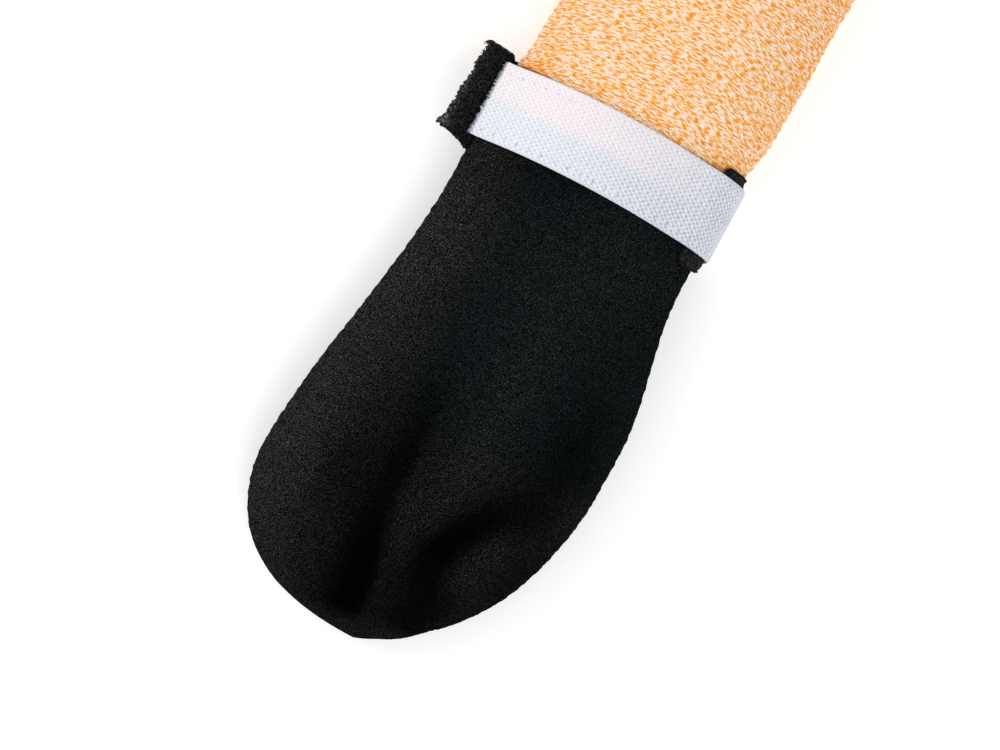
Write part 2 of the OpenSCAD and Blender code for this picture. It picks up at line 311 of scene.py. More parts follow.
def tubes(paths, radius, sides):
    """Points and faces of many tubes at once; paths is an array of (tubes, points along, 3)."""
    paths = np.asarray(paths, float)
    count, along = paths.shape[:2]
    tangent = np.gradient(paths, axis=1)
    tangent /= np.linalg.norm(tangent, axis=2, keepdims=True) + 1e-12
    helper = np.where(np.abs(tangent[:, :1, 2:3]) > 0.8, [[[1.0, 0, 0]]], [[[0, 0, 1.0]]])
    side = np.cross(tangent, helper)
    side /= np.linalg.norm(side, axis=2, keepdims=True) + 1e-12
    up = np.cross(side, tangent)
    turn = np.arange(sides) * 2 * math.pi / sides
    radius = np.broadcast_to(np.asarray(radius, float), (count, along))[:, :, None, None]
    ring = side[:, :, None] * np.cos(turn)[:, None] + up[:, :, None] * np.sin(turn)[:, None]
    points = (paths[:, :, None] + ring * radius).reshape(-1, 3)
    t, i, j = np.meshgrid(np.arange(count), np.arange(along - 1), np.arange(sides), indexing="ij")
    k = (j + 1) % sides
    first = (t * along + i) * sides
    quads = np.stack([first + j, first + k, first + sides + k, first + sides + j], -1).reshape(-1, 4)
    loop = np.arange(sides)
    starts = np.arange(count)[:, None] * along * sides
    ends = starts + (along - 1) * sides
    return points, [quads, starts + loop[::-1], ends + loop]


def joined(parts):
    """Joins several (points, faces) pairs."""
    points, faces, base = [], [], 0
    for p, fs in parts:
        points.append(p)
        faces += [f + base for f in fs]
        base += len(p)
    return np.concatenate(points), faces


def tube_object(name, groups, radius, sides):
    """One object from groups of tubes."""
    return mesh_object(name, *joined([tubes(paths, radius, sides) for paths in groups]))


def store(obj, name, outer, inner=0.0):
    """Stores a number for each point of a closed sheet: a grid for its outer face, one value elsewhere."""
    values = np.full(len(obj.data.vertices), inner, np.float32)
    values[: outer.size] = outer.ravel()
    layer = obj.data.attributes.new(name, "FLOAT", "POINT")
    layer.data.foreach_set("value", values)


# ---- materials

class Nodes:
    """A node material with a Principled surface, and short calls that add and wire nodes."""

    def __init__(self, name, roughness=0.8, sheen=0.0, shine=0.25):
        self.material = bpy.data.materials.new(name)
        self.material.use_nodes = True
        self.tree = self.material.node_tree
        self.surface = self.tree.nodes["Principled BSDF"]
        self.set("Roughness", roughness)
        self.set("Specular IOR Level", shine)
        self.set("Sheen Weight", sheen)
        self.set("Sheen Roughness", 0.64)

    def add(self, kind, **inputs):
        made = self.tree.nodes.new(kind)
        for key, value in inputs.items():
            self.wire(made.inputs[key.replace("_", " ")], value)
        return made

    def wire(self, socket, value):
        if isinstance(value, bpy.types.NodeSocket):
            self.tree.links.new(value, socket)
        else:
            socket.default_value = value

    def set(self, name, value):
        """Gives the surface a number, a colour or another node's output."""
        self.wire(self.surface.inputs[name], value)

    def place(self):
        return self.add("ShaderNodeTexCoord").outputs["Object"]

    def noise(self, scale, detail=3.0, at=None):
        made = self.add("ShaderNodeTexNoise", Scale=scale, Detail=detail)
        self.wire(made.inputs["Vector"], at if at is not None else self.place())
        return made.outputs["Fac"]

    def stored(self, name):
        made = self.tree.nodes.new("ShaderNodeAttribute")
        made.attribute_name = name
        return made.outputs["Fac"]

    def maths(self, kind, a, b=0.0, clamp=False):
        made = self.tree.nodes.new("ShaderNodeMath")
        made.operation = kind
        made.use_clamp = clamp
        self.wire(made.inputs[0], a)
        self.wire(made.inputs[1], b)
        return made.outputs[0]

    def remap(self, value, low, high, to_low=0.0, to_high=1.0):
        made = self.tree.nodes.new("ShaderNodeMapRange")
        for socket, number in zip(made.inputs[1:5], (low, high, to_low, to_high)):
            self.wire(socket, number)
        self.wire(made.inputs[0], value)
        return made.outputs[0]

    def mix(self, share, a, b):
        made = self.tree.nodes.new("ShaderNodeMix")
        made.data_type = "RGBA"
        self.wire(made.inputs[0], share)
        self.wire(made.inputs[6], a)
        self.wire(made.inputs[7], b)
        return made.outputs[2]

    def bump(self, height, distance, strength=1.0):
        made = self.add("ShaderNodeBump", Height=height, Distance=distance, Strength=strength)
        self.set("Normal", made.outputs["Normal"])

    def colour(self, value):
        self.set("Base Color", value)


def rgb(red, green, blue):
    """Colour as a display shows it, 0 to 255, turned to the linear light a material takes."""
    def linear(v):
        v /= 255
        return v / 12.92 if v <= 0.04045 else ((v + 0.055) / 1.055) ** 2.4
    return (linear(red), linear(green), linear(blue), 1.0)


def napped_fabric():
    """Black napped shell with painted light and shade: painted paler where light falls on the left flank and
    crest, painted near black as shade in its folds, bluish in the middle.
    """
    m = Nodes("napped_fabric", roughness=1.0, shine=0.0)
    grain = m.noise(1900, 4)
    fine = m.noise(3600, 2)
    painted_nap_light = m.stored("painted_nap_light")
    cool = m.stored("cool")
    # painted light: the nap's deep and pale tones and its specks grow lighter where the painted light falls
    deep = m.mix(painted_nap_light, m.mix(cool, rgb(2, 2, 2), rgb(2, 3, 4)), rgb(4, 4, 4))
    pale = m.mix(painted_nap_light, m.mix(cool, rgb(17, 17, 16), rgb(13, 19, 21)), rgb(29, 29, 28))
    nap = m.mix(m.remap(grain, 0.42, 0.6), deep, pale)
    specks = m.maths("MULTIPLY", m.remap(fine, 0.56, 0.7), m.remap(painted_nap_light, 0.0, 1.0, 0.36, 1.0))
    speckled = m.mix(specks, nap, m.mix(cool, rgb(108, 107, 103), rgb(84, 95, 96)))
    # painted shade: the folds are darkened towards near black
    m.colour(m.mix(m.stored("fold"), speckled, rgb(1, 1, 1)))
    m.bump(m.maths("ADD", grain, m.maths("MULTIPLY", fine, 0.6)), 0.35 * MM, 0.9)
    return m.material


def woven_tape():
    """White filament tape with painted light: a faint pink cast painted over the knit, a bluish one over the
    shell, and painted grey shade by the side.
    """
    m = Nodes("woven_tape", roughness=0.65, sheen=0.1)
    # painted light: a pink cast over the knit, bluish over the shell
    tint = m.mix(m.stored("over_knit"), rgb(226, 229, 235), rgb(239, 230, 232))
    # painted shade: greyer by the side that turns away from the light
    tint = m.mix(m.stored("side"), tint, rgb(216, 219, 227))
    # painted shade in the low points between the weave's nubs and painted light on their tops, with some
    # random variation
    low = m.mix(m.stored("over_knit"), rgb(193, 199, 209), rgb(219, 210, 216))
    low = m.mix(m.stored("side"), low, rgb(150, 157, 172))
    filaments = m.noise(2600, 3)
    nub = m.maths("ADD", m.stored("relief"), m.remap(m.noise(1500, 2), 0.3, 0.7, -0.3, 0.3))
    weave = m.mix(m.remap(nub, -0.8, 0.5), low, tint)
    m.colour(m.mix(m.stored("hole"), weave, rgb(128, 130, 138)))
    m.set("Roughness", m.remap(filaments, 0.3, 0.7, 0.5, 0.75))
    m.bump(filaments, 0.1 * MM, 0.5)
    return m.material


def marl_knit():
    """Two-colour marl yarn: each stitch leg's stored value runs from white to orange, in short streaks."""
    m = Nodes("marl_knit", roughness=0.9, sheen=0.12, shine=0.1)
    fibres = m.noise(3000, 3)
    place = m.add("ShaderNodeCombineXYZ", X=m.stored("across"), Y=m.stored("along"))
    streak = m.remap(m.noise(1.0, 2, place.outputs[0]), 0.36, 0.64, -0.82, 0.82)
    value = m.maths("ADD", m.maths("ADD", m.stored("marl"), streak), m.remap(fibres, 0.3, 0.7, -0.08, 0.08))
    pale = m.mix(m.remap(value, 0.0, 0.4), rgb(249, 228, 219), rgb(244, 210, 168))
    warm = m.mix(m.remap(value, 0.4, 0.7), pale, rgb(242, 181, 88))
    full = m.mix(m.remap(value, 0.7, 1.0), warm, rgb(240, 158, 36))
    yarn = m.mix(m.remap(value, 1.05, 1.4), full, rgb(238, 130, 28))
    # painted shade in the hollows between the stitch legs
    gap_shade = m.remap(m.stored("relief"), -1.0, -0.05, 0.75, 0.0)
    m.colour(m.mix(gap_shade, yarn, rgb(174, 116, 52)))
    m.bump(fibres, 0.12 * MM, 0.6)
    return m.material


def loop_pile():
    """Black napped loops, with painted light that makes them paler towards the pull tab's lit end."""
    m = Nodes("loop_pile", roughness=1.0, sheen=0.03, shine=0.02)
    tuft = m.noise(1500, 3)
    fibre = m.noise(3500, 2)
    place = m.add("ShaderNodeSeparateXYZ", Vector=m.place())
    # painted light: paler towards the tab's end, which catches the light
    tip = m.maths("POWER", m.remap(place.outputs["X"], -NECK_LEFT - 6.5 * MM, -NECK_LEFT - 10 * MM), 1.9)
    deep = m.mix(tip, rgb(2, 2, 2), rgb(8, 8, 8))
    pale = m.mix(tip, rgb(45, 45, 45), rgb(115, 115, 114))
    m.colour(m.mix(m.remap(tuft, 0.44, 0.6), deep, pale))
    m.bump(fibre, 0.2 * MM, 0.7)
    return m.material


def sole_rubber():
    """Moulded rubber with a fine matt grain and a little dust in patches."""
    m = Nodes("sole_rubber", roughness=0.7)
    grain = m.noise(1800, 3)
    dust = m.noise(120, 4)
    m.colour(m.mix(m.remap(dust, 0.45, 0.75), rgb(28, 28, 29), rgb(52, 50, 47)))
    m.set("Roughness", m.remap(dust, 0.3, 0.7, 0.55, 0.85))
    m.bump(grain, 0.15 * MM, 0.5)
    return m.material


def thread(name, dark, light):
    """Twisted sewing thread: a fine ply between two shades."""
    m = Nodes(name, roughness=0.55, sheen=0.2)
    ply = m.noise(2400, 2)
    m.colour(m.mix(m.remap(ply, 0.35, 0.65), dark, light))
    m.bump(ply, 0.08 * MM, 0.6)
    return m.material


def hook_plastic():
    """Slightly clear moulded nylon."""
    m = Nodes("hook_plastic", roughness=0.35)
    cloud = m.noise(400, 2)
    m.colour(m.mix(cloud, rgb(214, 218, 224), rgb(236, 238, 242)))
    m.set("Transmission Weight", 0.15)
    m.bump(m.noise(2000, 2), 0.05 * MM, 0.4)
    return m.material


def ribbed_hem():
    """Orange rib and overlock yarn."""
    m = Nodes("ribbed_hem", roughness=0.85, sheen=0.2)
    fibre = m.noise(1600, 3)
    cloud = m.noise(160, 2)
    base = m.mix(m.remap(cloud, 0.3, 0.7), rgb(240, 150, 62), rgb(246, 190, 128))
    m.colour(m.mix(m.remap(fibre, 0.4, 0.75), base, rgb(250, 226, 205)))
    m.bump(fibre, 0.25 * MM, 0.7)
    return m.material


def braided_elastic():
    """Off-white braid."""
    m = Nodes("braided_elastic", roughness=0.7, sheen=0.1)
    braid = m.noise(900, 2)
    m.colour(m.mix(braid, rgb(205, 200, 188), rgb(235, 231, 220)))
    m.bump(braid, 0.2 * MM, 0.6)
    return m.material


# The material of each slot
SLOTS = {
    "napped_shell": napped_fabric(),
    "woven_tape": woven_tape(),
    "marl_knit": marl_knit(),
    "loop_pile": loop_pile(),
    "sole_rubber": sole_rubber(),
    "white_thread": thread("white_thread", rgb(206, 211, 220), rgb(238, 239, 242)),
    "black_thread": thread("black_thread", rgb(14, 14, 15), rgb(48, 47, 46)),
    "hook_strip": hook_plastic(),
    "orange_hem": ribbed_hem(),
    "elastic": braided_elastic(),
}


def dress(piece, slot):
    """Gives a piece the material of a slot."""
    piece.data.materials.clear()
    piece.data.materials.append(SLOTS[slot])
    return piece


def fit(piece, slot, body, node):
    """Dresses a piece and puts it on a body, in place of a node."""
    dress(piece, slot)
    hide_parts(node)
    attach(piece, body)


# ---- boot shell

SHELL_ROWS = 240
SHELL_COLS = 190
FRAY = 0.11 * MM
# Share of the cloth's sideways swelling that is kept: the taped side seams hold the outline
SEAM_HOLD = 0.15


def toe_lines(s):
    """X of the toe ridge and of the valleys left and right of it."""
    ridge = 2.5 * MM + 6 * MM * ramp(s, 34, 34)
    left = -5 * MM - 5.5 * MM * ramp(s, 14, 36)
    right = 11 * MM + 24 * MM * ramp(s, 36, 44) + 4.5 * MM * (1 - ramp(s, 22, 12))
    return ridge, left, right


def toe_sculpt(s, x):
    """Rise of the gathered toe, and the share of painted shade in its folds (0 to 1)."""
    ridge, left, right = toe_lines(s)
    # share of each line at a point: 1 on the line, falling off to both sides
    near = ramp(s, 1, 9)
    ridge_share = bell(x - ridge, 3.6 * MM) * near * (1 - ramp(s, 50, 50))
    slope = np.where(x < left, 5.6 * MM, 2.3 * MM)
    left_share = bell(x - left, slope) * ramp(s, 1, 12)
    slope = 4.6 * MM + 3.4 * MM * ramp(s, 44, 20) + 2 * MM * (1 - ramp(s, 24, 10))
    right_share = bell(x - right, slope)
    deep_left = left_share * (1 - ramp(s, 26, 34))
    deep_right = right_share * ramp(s, 20, 18) * (1 - ramp(s, 48, 26))
    lobe = hump(x, 26, 8) * hump(s, 37, 11)
    rise = (1.9 * ridge_share - 4.0 * deep_left - 4.4 * deep_right + 1.2 * lobe) * MM

    # painted shade: light taken out of the colour along each valley, then over a broad area, the right edge
    # and a patch on the left side
    fade_left = 0.72 - 0.34 * ramp(s, 22, 24) - 0.36 * ramp(s, 60, 40)
    fade_right = 0.56 + 0.2 * ramp(s, 30, 12) - 0.34 * ramp(s, 46, 30)
    fade_right = fade_right * ramp(s, 6, 8) * (1 - 0.8 * ramp(s, 80, 32))
    broad = hump(x, -10, 17) * (1 - ramp(s, 40, 60))
    edge = ramp(x, 24, 12) * ramp(s, 20, 14) * (1 - ramp(s, 50, 20))
    shade_patch = hump(x, -27, 6) * hump(s, 48, 12)
    lit = 1 - fade_left * left_share - fade_right * right_share - 0.2 * broad - 0.4 * edge - 0.3 * shade_patch
    return rise, 1 - np.clip(lit, 0.2, 1) ** 2.2


def shell_surface(first, last, inset, top):
    """Grid of points of one half of the shell, before its folds; also stations and angles."""
    u = np.linspace(0, 1, SHELL_ROWS)[:, None]
    s = 0.02 * MM + (BOOT_L - 0.02 * MM) * u ** 1.6
    share = np.linspace(0, 1, SHELL_COLS)[None, :]
    angle = first + (last - first) * share
    s, angle = np.broadcast_arrays(s, angle)
    x, z = ring_point(s, angle, inset)
    y = TOE_Y + s + inset * (1 - ease(s / LEFT_PEAK))
    facing = np.abs(np.sin(np.radians(angle))) ** 0.6
    soft = ripple(x, y, 60 * MM, 3) * 0.45 * MM + ripple(x, y, 24 * MM, 5) * 0.1 * MM
    calm = 1 - 0.8 * ease((s - NECK_START) / (20 * MM))
    if top:
        z = z + soft * calm * facing * ramp(s, 0, 10)
    else:
        z = z + np.maximum(soft, 0) * 0.3 * facing * ramp(s, 0, 20)
    return xyz(x, y, z), s, angle


def seam_finish(points, s, angle, inset):
    """Draws the edges of a panel into the side seam, and rolls the cuff edge inwards."""
    share = np.linspace(0, 1, SHELL_COLS)[None, :]
    edge = np.minimum(share, 1 - share) * 130 * MM
    groove = 0.5 * MM * bell(edge, 1.1 * MM) * ramp(s, 10, 20)
    pucker = 0.1 * MM * bell(edge, 5 * MM) * np.sin(2 * math.pi * s / (4.3 * MM))
    roll = 1.5 * MM * ramp(s - BOOT_L, -2.4, 2.4) * (1 if inset == 0 else -0.2)
    c, n = turned(angle)
    points = points.copy()
    points[..., 0] -= c * (groove + pucker + roll)
    points[..., 2] -= n * roll
    return points


def blurred(field, passes):
    """Grid of vectors averaged with its neighbours along rows and columns."""
    for _ in range(passes):
        padded = np.pad(field, ((1, 1), (0, 0), (0, 0)), "edge")
        field = (padded[:-2] + padded[1:-1] + padded[2:]) / 3
        padded = np.pad(field, ((0, 0), (1, 1), (0, 0)), "edge")
        field = (padded[:, :-2] + padded[:, 1:-1] + padded[:, 2:]) / 3
    return field


CLOTH = {
    "quality": 6,
    "mass": 0.3,
    "tension_stiffness": 12,
    "compression_stiffness": 12,
    "bending_stiffness": 0.6,
    "vertex_group_mass": "held",
    "use_pressure": True,
    "uniform_pressure_force": 4,
    "shrink_min": -0.035,
}
CLOTH_VOXEL = 4.5 * MM
CLOTH_LIMIT = 3.0 * MM
CLOTH_FRAMES = 20


def cloth_pouch():
    """Closed pouch in the shape of the whole shell, with evenly sized faces."""
    upper = shell_surface(0, 180, 0.0, True)[0][::4, ::4]
    under = shell_surface(180, 360, 0.0, False)[0][::4, ::4]
    ring = np.concatenate([upper[:, :-1], under[:, :-1]], 1)
    rows, cols = ring.shape[:2]
    loop = np.arange(cols)
    faces = [grid_quads(rows, cols, True), loop[::-1][None], (rows - 1) * cols + loop[None]]
    pouch = mesh_object("pouch", ring.reshape(-1, 3), faces)
    remesh = pouch.modifiers.new("remesh", "REMESH")
    remesh.mode = "VOXEL"
    remesh.voxel_size = CLOTH_VOXEL
    even = bpy.data.meshes.new_from_object(pouch.evaluated_get(bpy.context.evaluated_depsgraph_get()))
    pouch.modifiers.clear()
    pouch.data = even
    return pouch


def held_points(points):
    """Which points of the pouch stay put: those of the neck, the toe tip, the sole and the side seams."""
    x, y, z = points.T
    s = y - TOE_Y
    from_edge = np.where(x > 0, right_reach(s), left_reach(s)) - np.abs(x)
    at_seam = (np.abs(z - seam_z(s)) < 3 * MM) & (from_edge < 5 * MM)
    at_neck, at_tip, at_sole = s > 146 * MM, s < 5 * MM, z < 7 * MM
    return at_seam | at_neck | at_tip | at_sole


def cloth_field():
    """Inflates the shell as one closed cloth pouch: its points before, and how far each one moved."""
    pouch = cloth_pouch()
    before = mesh_points(pouch.data)
    pin = pouch.vertex_groups.new(name="held")
    pin.add(np.flatnonzero(held_points(before)).tolist(), 1.0, "REPLACE")
    cloth = pouch.modifiers.new("cloth", "CLOTH")
    for setting, value in CLOTH.items():
        setattr(cloth.settings, setting, value)
    cloth.settings.effector_weights.gravity = 0
    cloth.point_cache.frame_start = 1
    cloth.point_cache.frame_end = CLOTH_FRAMES
    for number in range(1, CLOTH_FRAMES + 1):
        bpy.context.scene.frame_set(number)
    moved = mesh_points(pouch.evaluated_get(bpy.context.evaluated_depsgraph_get()).data) - before
    bpy.context.scene.frame_set(1)
    bpy.data.objects.remove(pouch)
    size = np.linalg.norm(moved, axis=1, keepdims=True)
    return before, moved * np.minimum(1, CLOTH_LIMIT / np.maximum(size, 1e-9))


def carried(points, field):
    """How far the cloth pouch moved at each point of a grid, evened out over the grid."""
    before, moved = field
    tree = KDTree(len(before))
    for k, place in enumerate(before):
        tree.insert(place, k)
    tree.balance()
    flat = points.reshape(-1, 3)
    shift = np.empty((len(flat), 3))
    for k, place in enumerate(flat):
        near = tree.find_n(place, 4)
        weight = np.array([1 / (n[2] + 0.3 * MM) ** 2 for n in near])
        shift[k] = weight @ moved[[n[1] for n in near]] / weight.sum()
    return blurred(shift.reshape(points.shape), 5)


def stretch(grid, rows, cols):
    """Values of a grid read between its points, by straight lines."""
    i = np.clip(np.floor(rows).astype(int), 0, grid.shape[0] - 2)
    j = np.clip(np.floor(cols).astype(int), 0, grid.shape[1] - 2)
    a, b = (rows - i)[:, None], (cols - j)[None, :]
    top = grid[i][:, j] * (1 - b) + grid[i][:, j + 1] * b
    low = grid[i + 1][:, j] * (1 - b) + grid[i + 1][:, j + 1] * b
    return top * (1 - a) + low * a


def cloth_shift(grid, field):
    """The cloth's movement at every point of a shell grid, worked out at every second point."""
    shift = carried(np.ascontiguousarray(grid[::2, ::2]), field)
    rows, cols = np.arange(SHELL_ROWS) / 2, np.arange(SHELL_COLS) / 2
    shift = np.stack([stretch(shift[..., k], rows, cols) for k in range(3)], -1)
    shift[..., 0] *= SEAM_HOLD
    return shift


def shell_half(first, last, top, field, rng):
    """Outer and inner face of one half of the shell, its stations, and the painted shade of its folds."""
    outer, s, angle = shell_surface(first, last, 0.0, top)
    inner = shell_surface(first, last, SHELL_T, top)[0]
    if field is not None:
        shift = cloth_shift(outer, field)
        outer = outer + shift
        inner = inner + shift
    c, n = turned(angle)
    fold = np.zeros(s.shape)
    if top:
        facing = n ** 0.6 * ramp(s, 0, 10)
        rise, fold = toe_sculpt(s, outer[..., 0])
        outer[..., 2] += rise * facing
        inner[..., 2] += rise * facing
        fold = fold * facing
    outer = seam_finish(outer, s, angle, 0)
    inner = seam_finish(inner, s, angle, SHELL_T)
    fuzz = rng.normal(size=s.shape) * FRAY * ramp(s, 0, 4)
    outer[..., 0] += fuzz * c
    outer[..., 2] += fuzz * n
    if not top:
        outer[..., 2] = np.maximum(outer[..., 2], BELLY_Z)
    return outer, inner, s, fold


def painted_nap_light_share(x, y, s):
    """Share of painted light on the nap, 0 to 1: more on the left flank, which faces the light, and on the
    crest behind the toe, less on the right side, with some random variation.
    """
    lie = 0.78 * ramp(-x, 12, 36) + 0.2 + 0.14 * ripple(x, y, 45 * MM, 9)
    crest = 0.32 * hump(x, 8, 6) * hump(s, 76, 22)
    right_side = 0.12 * ramp(x, 18, 14) * (1 - 2 * ramp(s, 70, 30))
    return np.clip(lie + crest - right_side, 0, 1)


def build_shell():
    field = cloth_field()
    rng = np.random.default_rng(7)
    for name, node, first, last, top in (
        ("upper_shell", "upper_panel", 0.2, 179.8, True),
        ("under_shell", "under_panel", 180.2, 359.8, False),
    ):
        outer, inner, s, fold = shell_half(first, last, top, field, rng)
        piece = closed_sheet(name, outer, inner)
        x, y = outer[..., 0], outer[..., 1]
        store(piece, "cool", ramp(s, 52, 30) * (1 - ramp(-x, 14, 16)))
        # painted shade in the folds
        store(piece, "fold", fold)
        # painted light on the left flank and the crest; the inner face takes a fixed share
        store(piece, "painted_nap_light", painted_nap_light_share(x, y, s), 0.2)
        fit(piece, "napped_shell", "boot", node)


# ---- ankle strap

PEEL_ANGLE = 18
FIRST_BEND = 68
SECOND_BEND = 114
CUT_ANGLE = 161
ANCHOR_FOOT = -52


def strap_gap(a):
    """Gap under the hooks: it rises over the band at both ends, and closes at the sewn end."""
    over_band = ease((52 - a) / 15) + ease((a - 146) / 12)
    return BAND_GAP + (BAND_T + LAYER_GAP) * over_band - HOOK_T * ease((PEEL_ANGLE + 6 - a) / 18)


def strap_path():
    """Outer face of the tape from its sewn end to just past its cut end, and its length at the bends."""
    angles = np.linspace(ANCHOR_FOOT, CUT_ANGLE + 5, 900)
    x, z = neck_point(angles, strap_gap(angles) + HOOK_T + LAYER_GAP + TAPE_T)
    path = Path(x, z)
    noted = (PEEL_ANGLE, FIRST_BEND, SECOND_BEND, CUT_ANGLE)
    return path, {a: float(np.interp(a, angles, path.u)) for a in noted}


STRAP, BEND_AT = strap_path()
# The woven part stops short of the cut, and frayed filaments make up the rest
FRAY_L = 1.5 * MM
TAPE_END = BEND_AT[CUT_ANGLE] - FRAY_L
STRAP_BOW = 1.4 * MM
WEAVE_U = 2.0 * MM
WEAVE_V = 1.5 * MM
SELVAGE = 0.9 * MM
TAPE_GRID = 0.31 * MM
HOLE_R = 0.24 * MM
STITCH = 4.3 * MM
STITCH_ROWS = (2.3 * MM, STRAP_W - 3.2 * MM)


def strap_y(u, v):
    """Y across the tape: the middle of the strap bows towards the leg."""
    x = STRAP.at(u, 0)[0]
    bow = STRAP_BOW * (1 - np.clip((x - 1 * MM) / (40 * MM), -1, 1) ** 2)
    return STRAP_Y + v + bow


def tape_relief(u, v):
    """Height of the weave above the tape's face, -1 to 1, and how much of a point is a needle hole."""
    column = wave(u, WEAVE_U)
    nubs = 0.8 * column * wave(v, WEAVE_V) + 0.2 * column
    border = 1 - 0.6 * (ease((SELVAGE - v) / (0.6 * MM)) + ease((SELVAGE - (STRAP_W - v)) / (0.6 * MM)))
    hole = np.zeros(np.shape(nubs))
    for row in STITCH_ROWS:
        along = (u + 0.5 * STITCH) % STITCH - 0.5 * STITCH
        pull = np.clip(0.8 + 0.3 * ripple(u, 0 * u + row, 7 * MM, 64), 0.5, 1)
        seen = pull if row < STRAP_W / 2 else pull * (0.1 + 0.5 * ease((u / STRAP.length - 0.62) / 0.25))
        hole = np.maximum(hole, seen * bell(along, HOLE_R) * bell(v - row, HOLE_R))
    return nubs * border, hole


def tape_piece(name, start, end):
    """One length of woven tape with its weave, selvages and needle holes as real relief."""
    cols = int((end - start) / TAPE_GRID)
    rows = int(STRAP_W / TAPE_GRID)
    v, u = lattice(0, STRAP_W, rows, start, end, cols)
    from_cut = end - u if end == TAPE_END else FAR
    u = u + 0.3 * MM * ripple(v, 0 * v, 1.1 * MM, 63) * bell(from_cut, 0.5 * MM)
    relief, hole = tape_relief(u, v)
    edge = np.minimum(v, STRAP_W - v)
    rounding = 0.35 * MM * np.maximum(bell(edge, 0.3 * MM), bell(from_cut, 0.4 * MM))
    lift = 0.11 * MM * relief - 0.3 * MM * hole - rounding
    outer = STRAP.points(u, lift, strap_y(u, v))
    inner = STRAP.points(u, -TAPE_T + 0.06 * MM * relief + rounding, strap_y(u, v))
    piece = closed_sheet(name, outer, inner)
    x_outer = outer[..., 0]
    across = np.clip((x_outer + 40 * MM) / (80 * MM), 0, 1)
    border = STRAP_W * (0.51 - 0.09 * across) + 0.6 * MM * ripple(u, v, 14 * MM, 61)
    # painted light and shade: the white tape is painted with a cast from what lies under it, and painted
    # greyer as it turns down the right side, away from the light
    over_knit = ease((v - border) / (7 * MM) + 0.5) * (1 - ramp(x_outer, 22, 14))
    over_knit = over_knit * (0.8 + 0.2 * ramp(x_outer, -42, 22))
    side = ramp(x_outer, -26, 64) * (0.92 + 0.08 * ripple(u, v, 9 * MM, 62)) * (1 - 0.3 * over_knit)
    store(piece, "over_knit", over_knit)
    store(piece, "side", np.clip(side, 0, 1))
    store(piece, "relief", relief)
    store(piece, "hole", hole)
    return dress(piece, "woven_tape")


def bend_over(piece, at, reach):
    """Works out where a bend in the strap starts and ends, by its length along the tape, and bakes the
    piece's transform into its mesh.
    """
    start, end = (Vector(STRAP.points(u, 0, STRAP_Y + STRAP_W / 2)) for u in (at - reach, at + reach))
    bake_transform(piece)


def thread_run(name, start, end):
    """Stitches of one length of strap: each dips into a needle hole at both ends."""
    paths = []
    first = math.ceil(start / STITCH)
    last = math.floor(end / STITCH)
    for k in range(first, last):
        along = np.linspace(0.22 * MM, STITCH - 0.22 * MM, 9)
        u = k * STITCH + along
        arch = np.sin(math.pi * along / STITCH) ** 0.5
        for row in STITCH_ROWS:
            paths.append(STRAP.points(u, (arch * 0.2 - 0.24) * MM, strap_y(u, row)))
    return dress(tube_object(name, [paths], 0.15 * MM, 6), "white_thread")


def frayed_end(name, rng):
    """Loose filaments that feather the cut end of the tape."""
    count = 520
    v = rng.uniform(0.2 * MM, STRAP_W - 0.2 * MM, count)
    reach = (0.35 + 1.5 * rng.uniform(size=count) ** 1.5) * MM
    level = rng.uniform(0.0, 0.8, count) * -TAPE_T
    droop = rng.uniform(-0.5, 0.15, count) * MM
    sway = rng.normal(size=count) * 0.22 * MM
    share = np.linspace(0, 1, 5)
    paths = []
    for k in range(count):
        u = TAPE_END + share * (reach[k] + 0.8 * MM) - 0.8 * MM
        y = strap_y(u, v[k]) + sway[k] * share ** 2
        paths.append(STRAP.points(u, level[k] + droop[k] * share ** 2, y))
    return dress(tube_object(name, [paths], 0.04 * MM, 4), "white_thread")


def hook_field(name, start, end, rng):
    """Moulded hooks in staggered rows on their backing, under one length of tape."""
    margin = 2 * MM
    cols = int((end - start) / (1.0 * MM))
    rows = 24
    v, u = lattice(margin, STRAP_W - margin, rows, start, end, cols)
    top = -TAPE_T - LAYER_GAP
    outer = STRAP.points(u, top, strap_y(u, v))
    inner = STRAP.points(u, top - 0.35 * MM + 0.03 * MM * np.cos(u / (0.4 * MM)), strap_y(u, v))
    back = closed_sheet(name, outer, inner)
    paths = []
    pitch = 1.5 * MM
    bend = np.linspace(0, 1, 7)
    for i, hook_u in enumerate(np.arange(start + 0.7 * MM, end - 0.7 * MM, pitch)):
        for hook_v in np.arange(margin + 0.8 * MM + (i % 2) * pitch / 2, STRAP_W - margin - 0.5 * MM, pitch):
            lean = rng.uniform(-0.08, 0.08) * MM
            turn = math.pi * 1.15 * np.clip((bend - 0.35) / 0.65, 0, 1)
            reach = 0.22 * MM * (1 - np.cos(turn)) * (1 if i % 2 else -1)
            depth = 0.45 * MM * np.minimum(bend / 0.35, 1) + 0.2 * MM * np.sin(turn)
            u = hook_u + reach
            paths.append(STRAP.points(u, top - 0.3 * MM - depth, strap_y(u, hook_v + lean * bend)))
    merge(back, tube_object(name + "_hooks", [paths], 0.09 * MM, 5))
    return dress(back, "hook_strip")


def merge(target, *others):
    """Joins other objects' meshes into target."""
    with bpy.context.temp_override(active_object=target, selected_editable_objects=[target, *others]):
        bpy.ops.object.join()


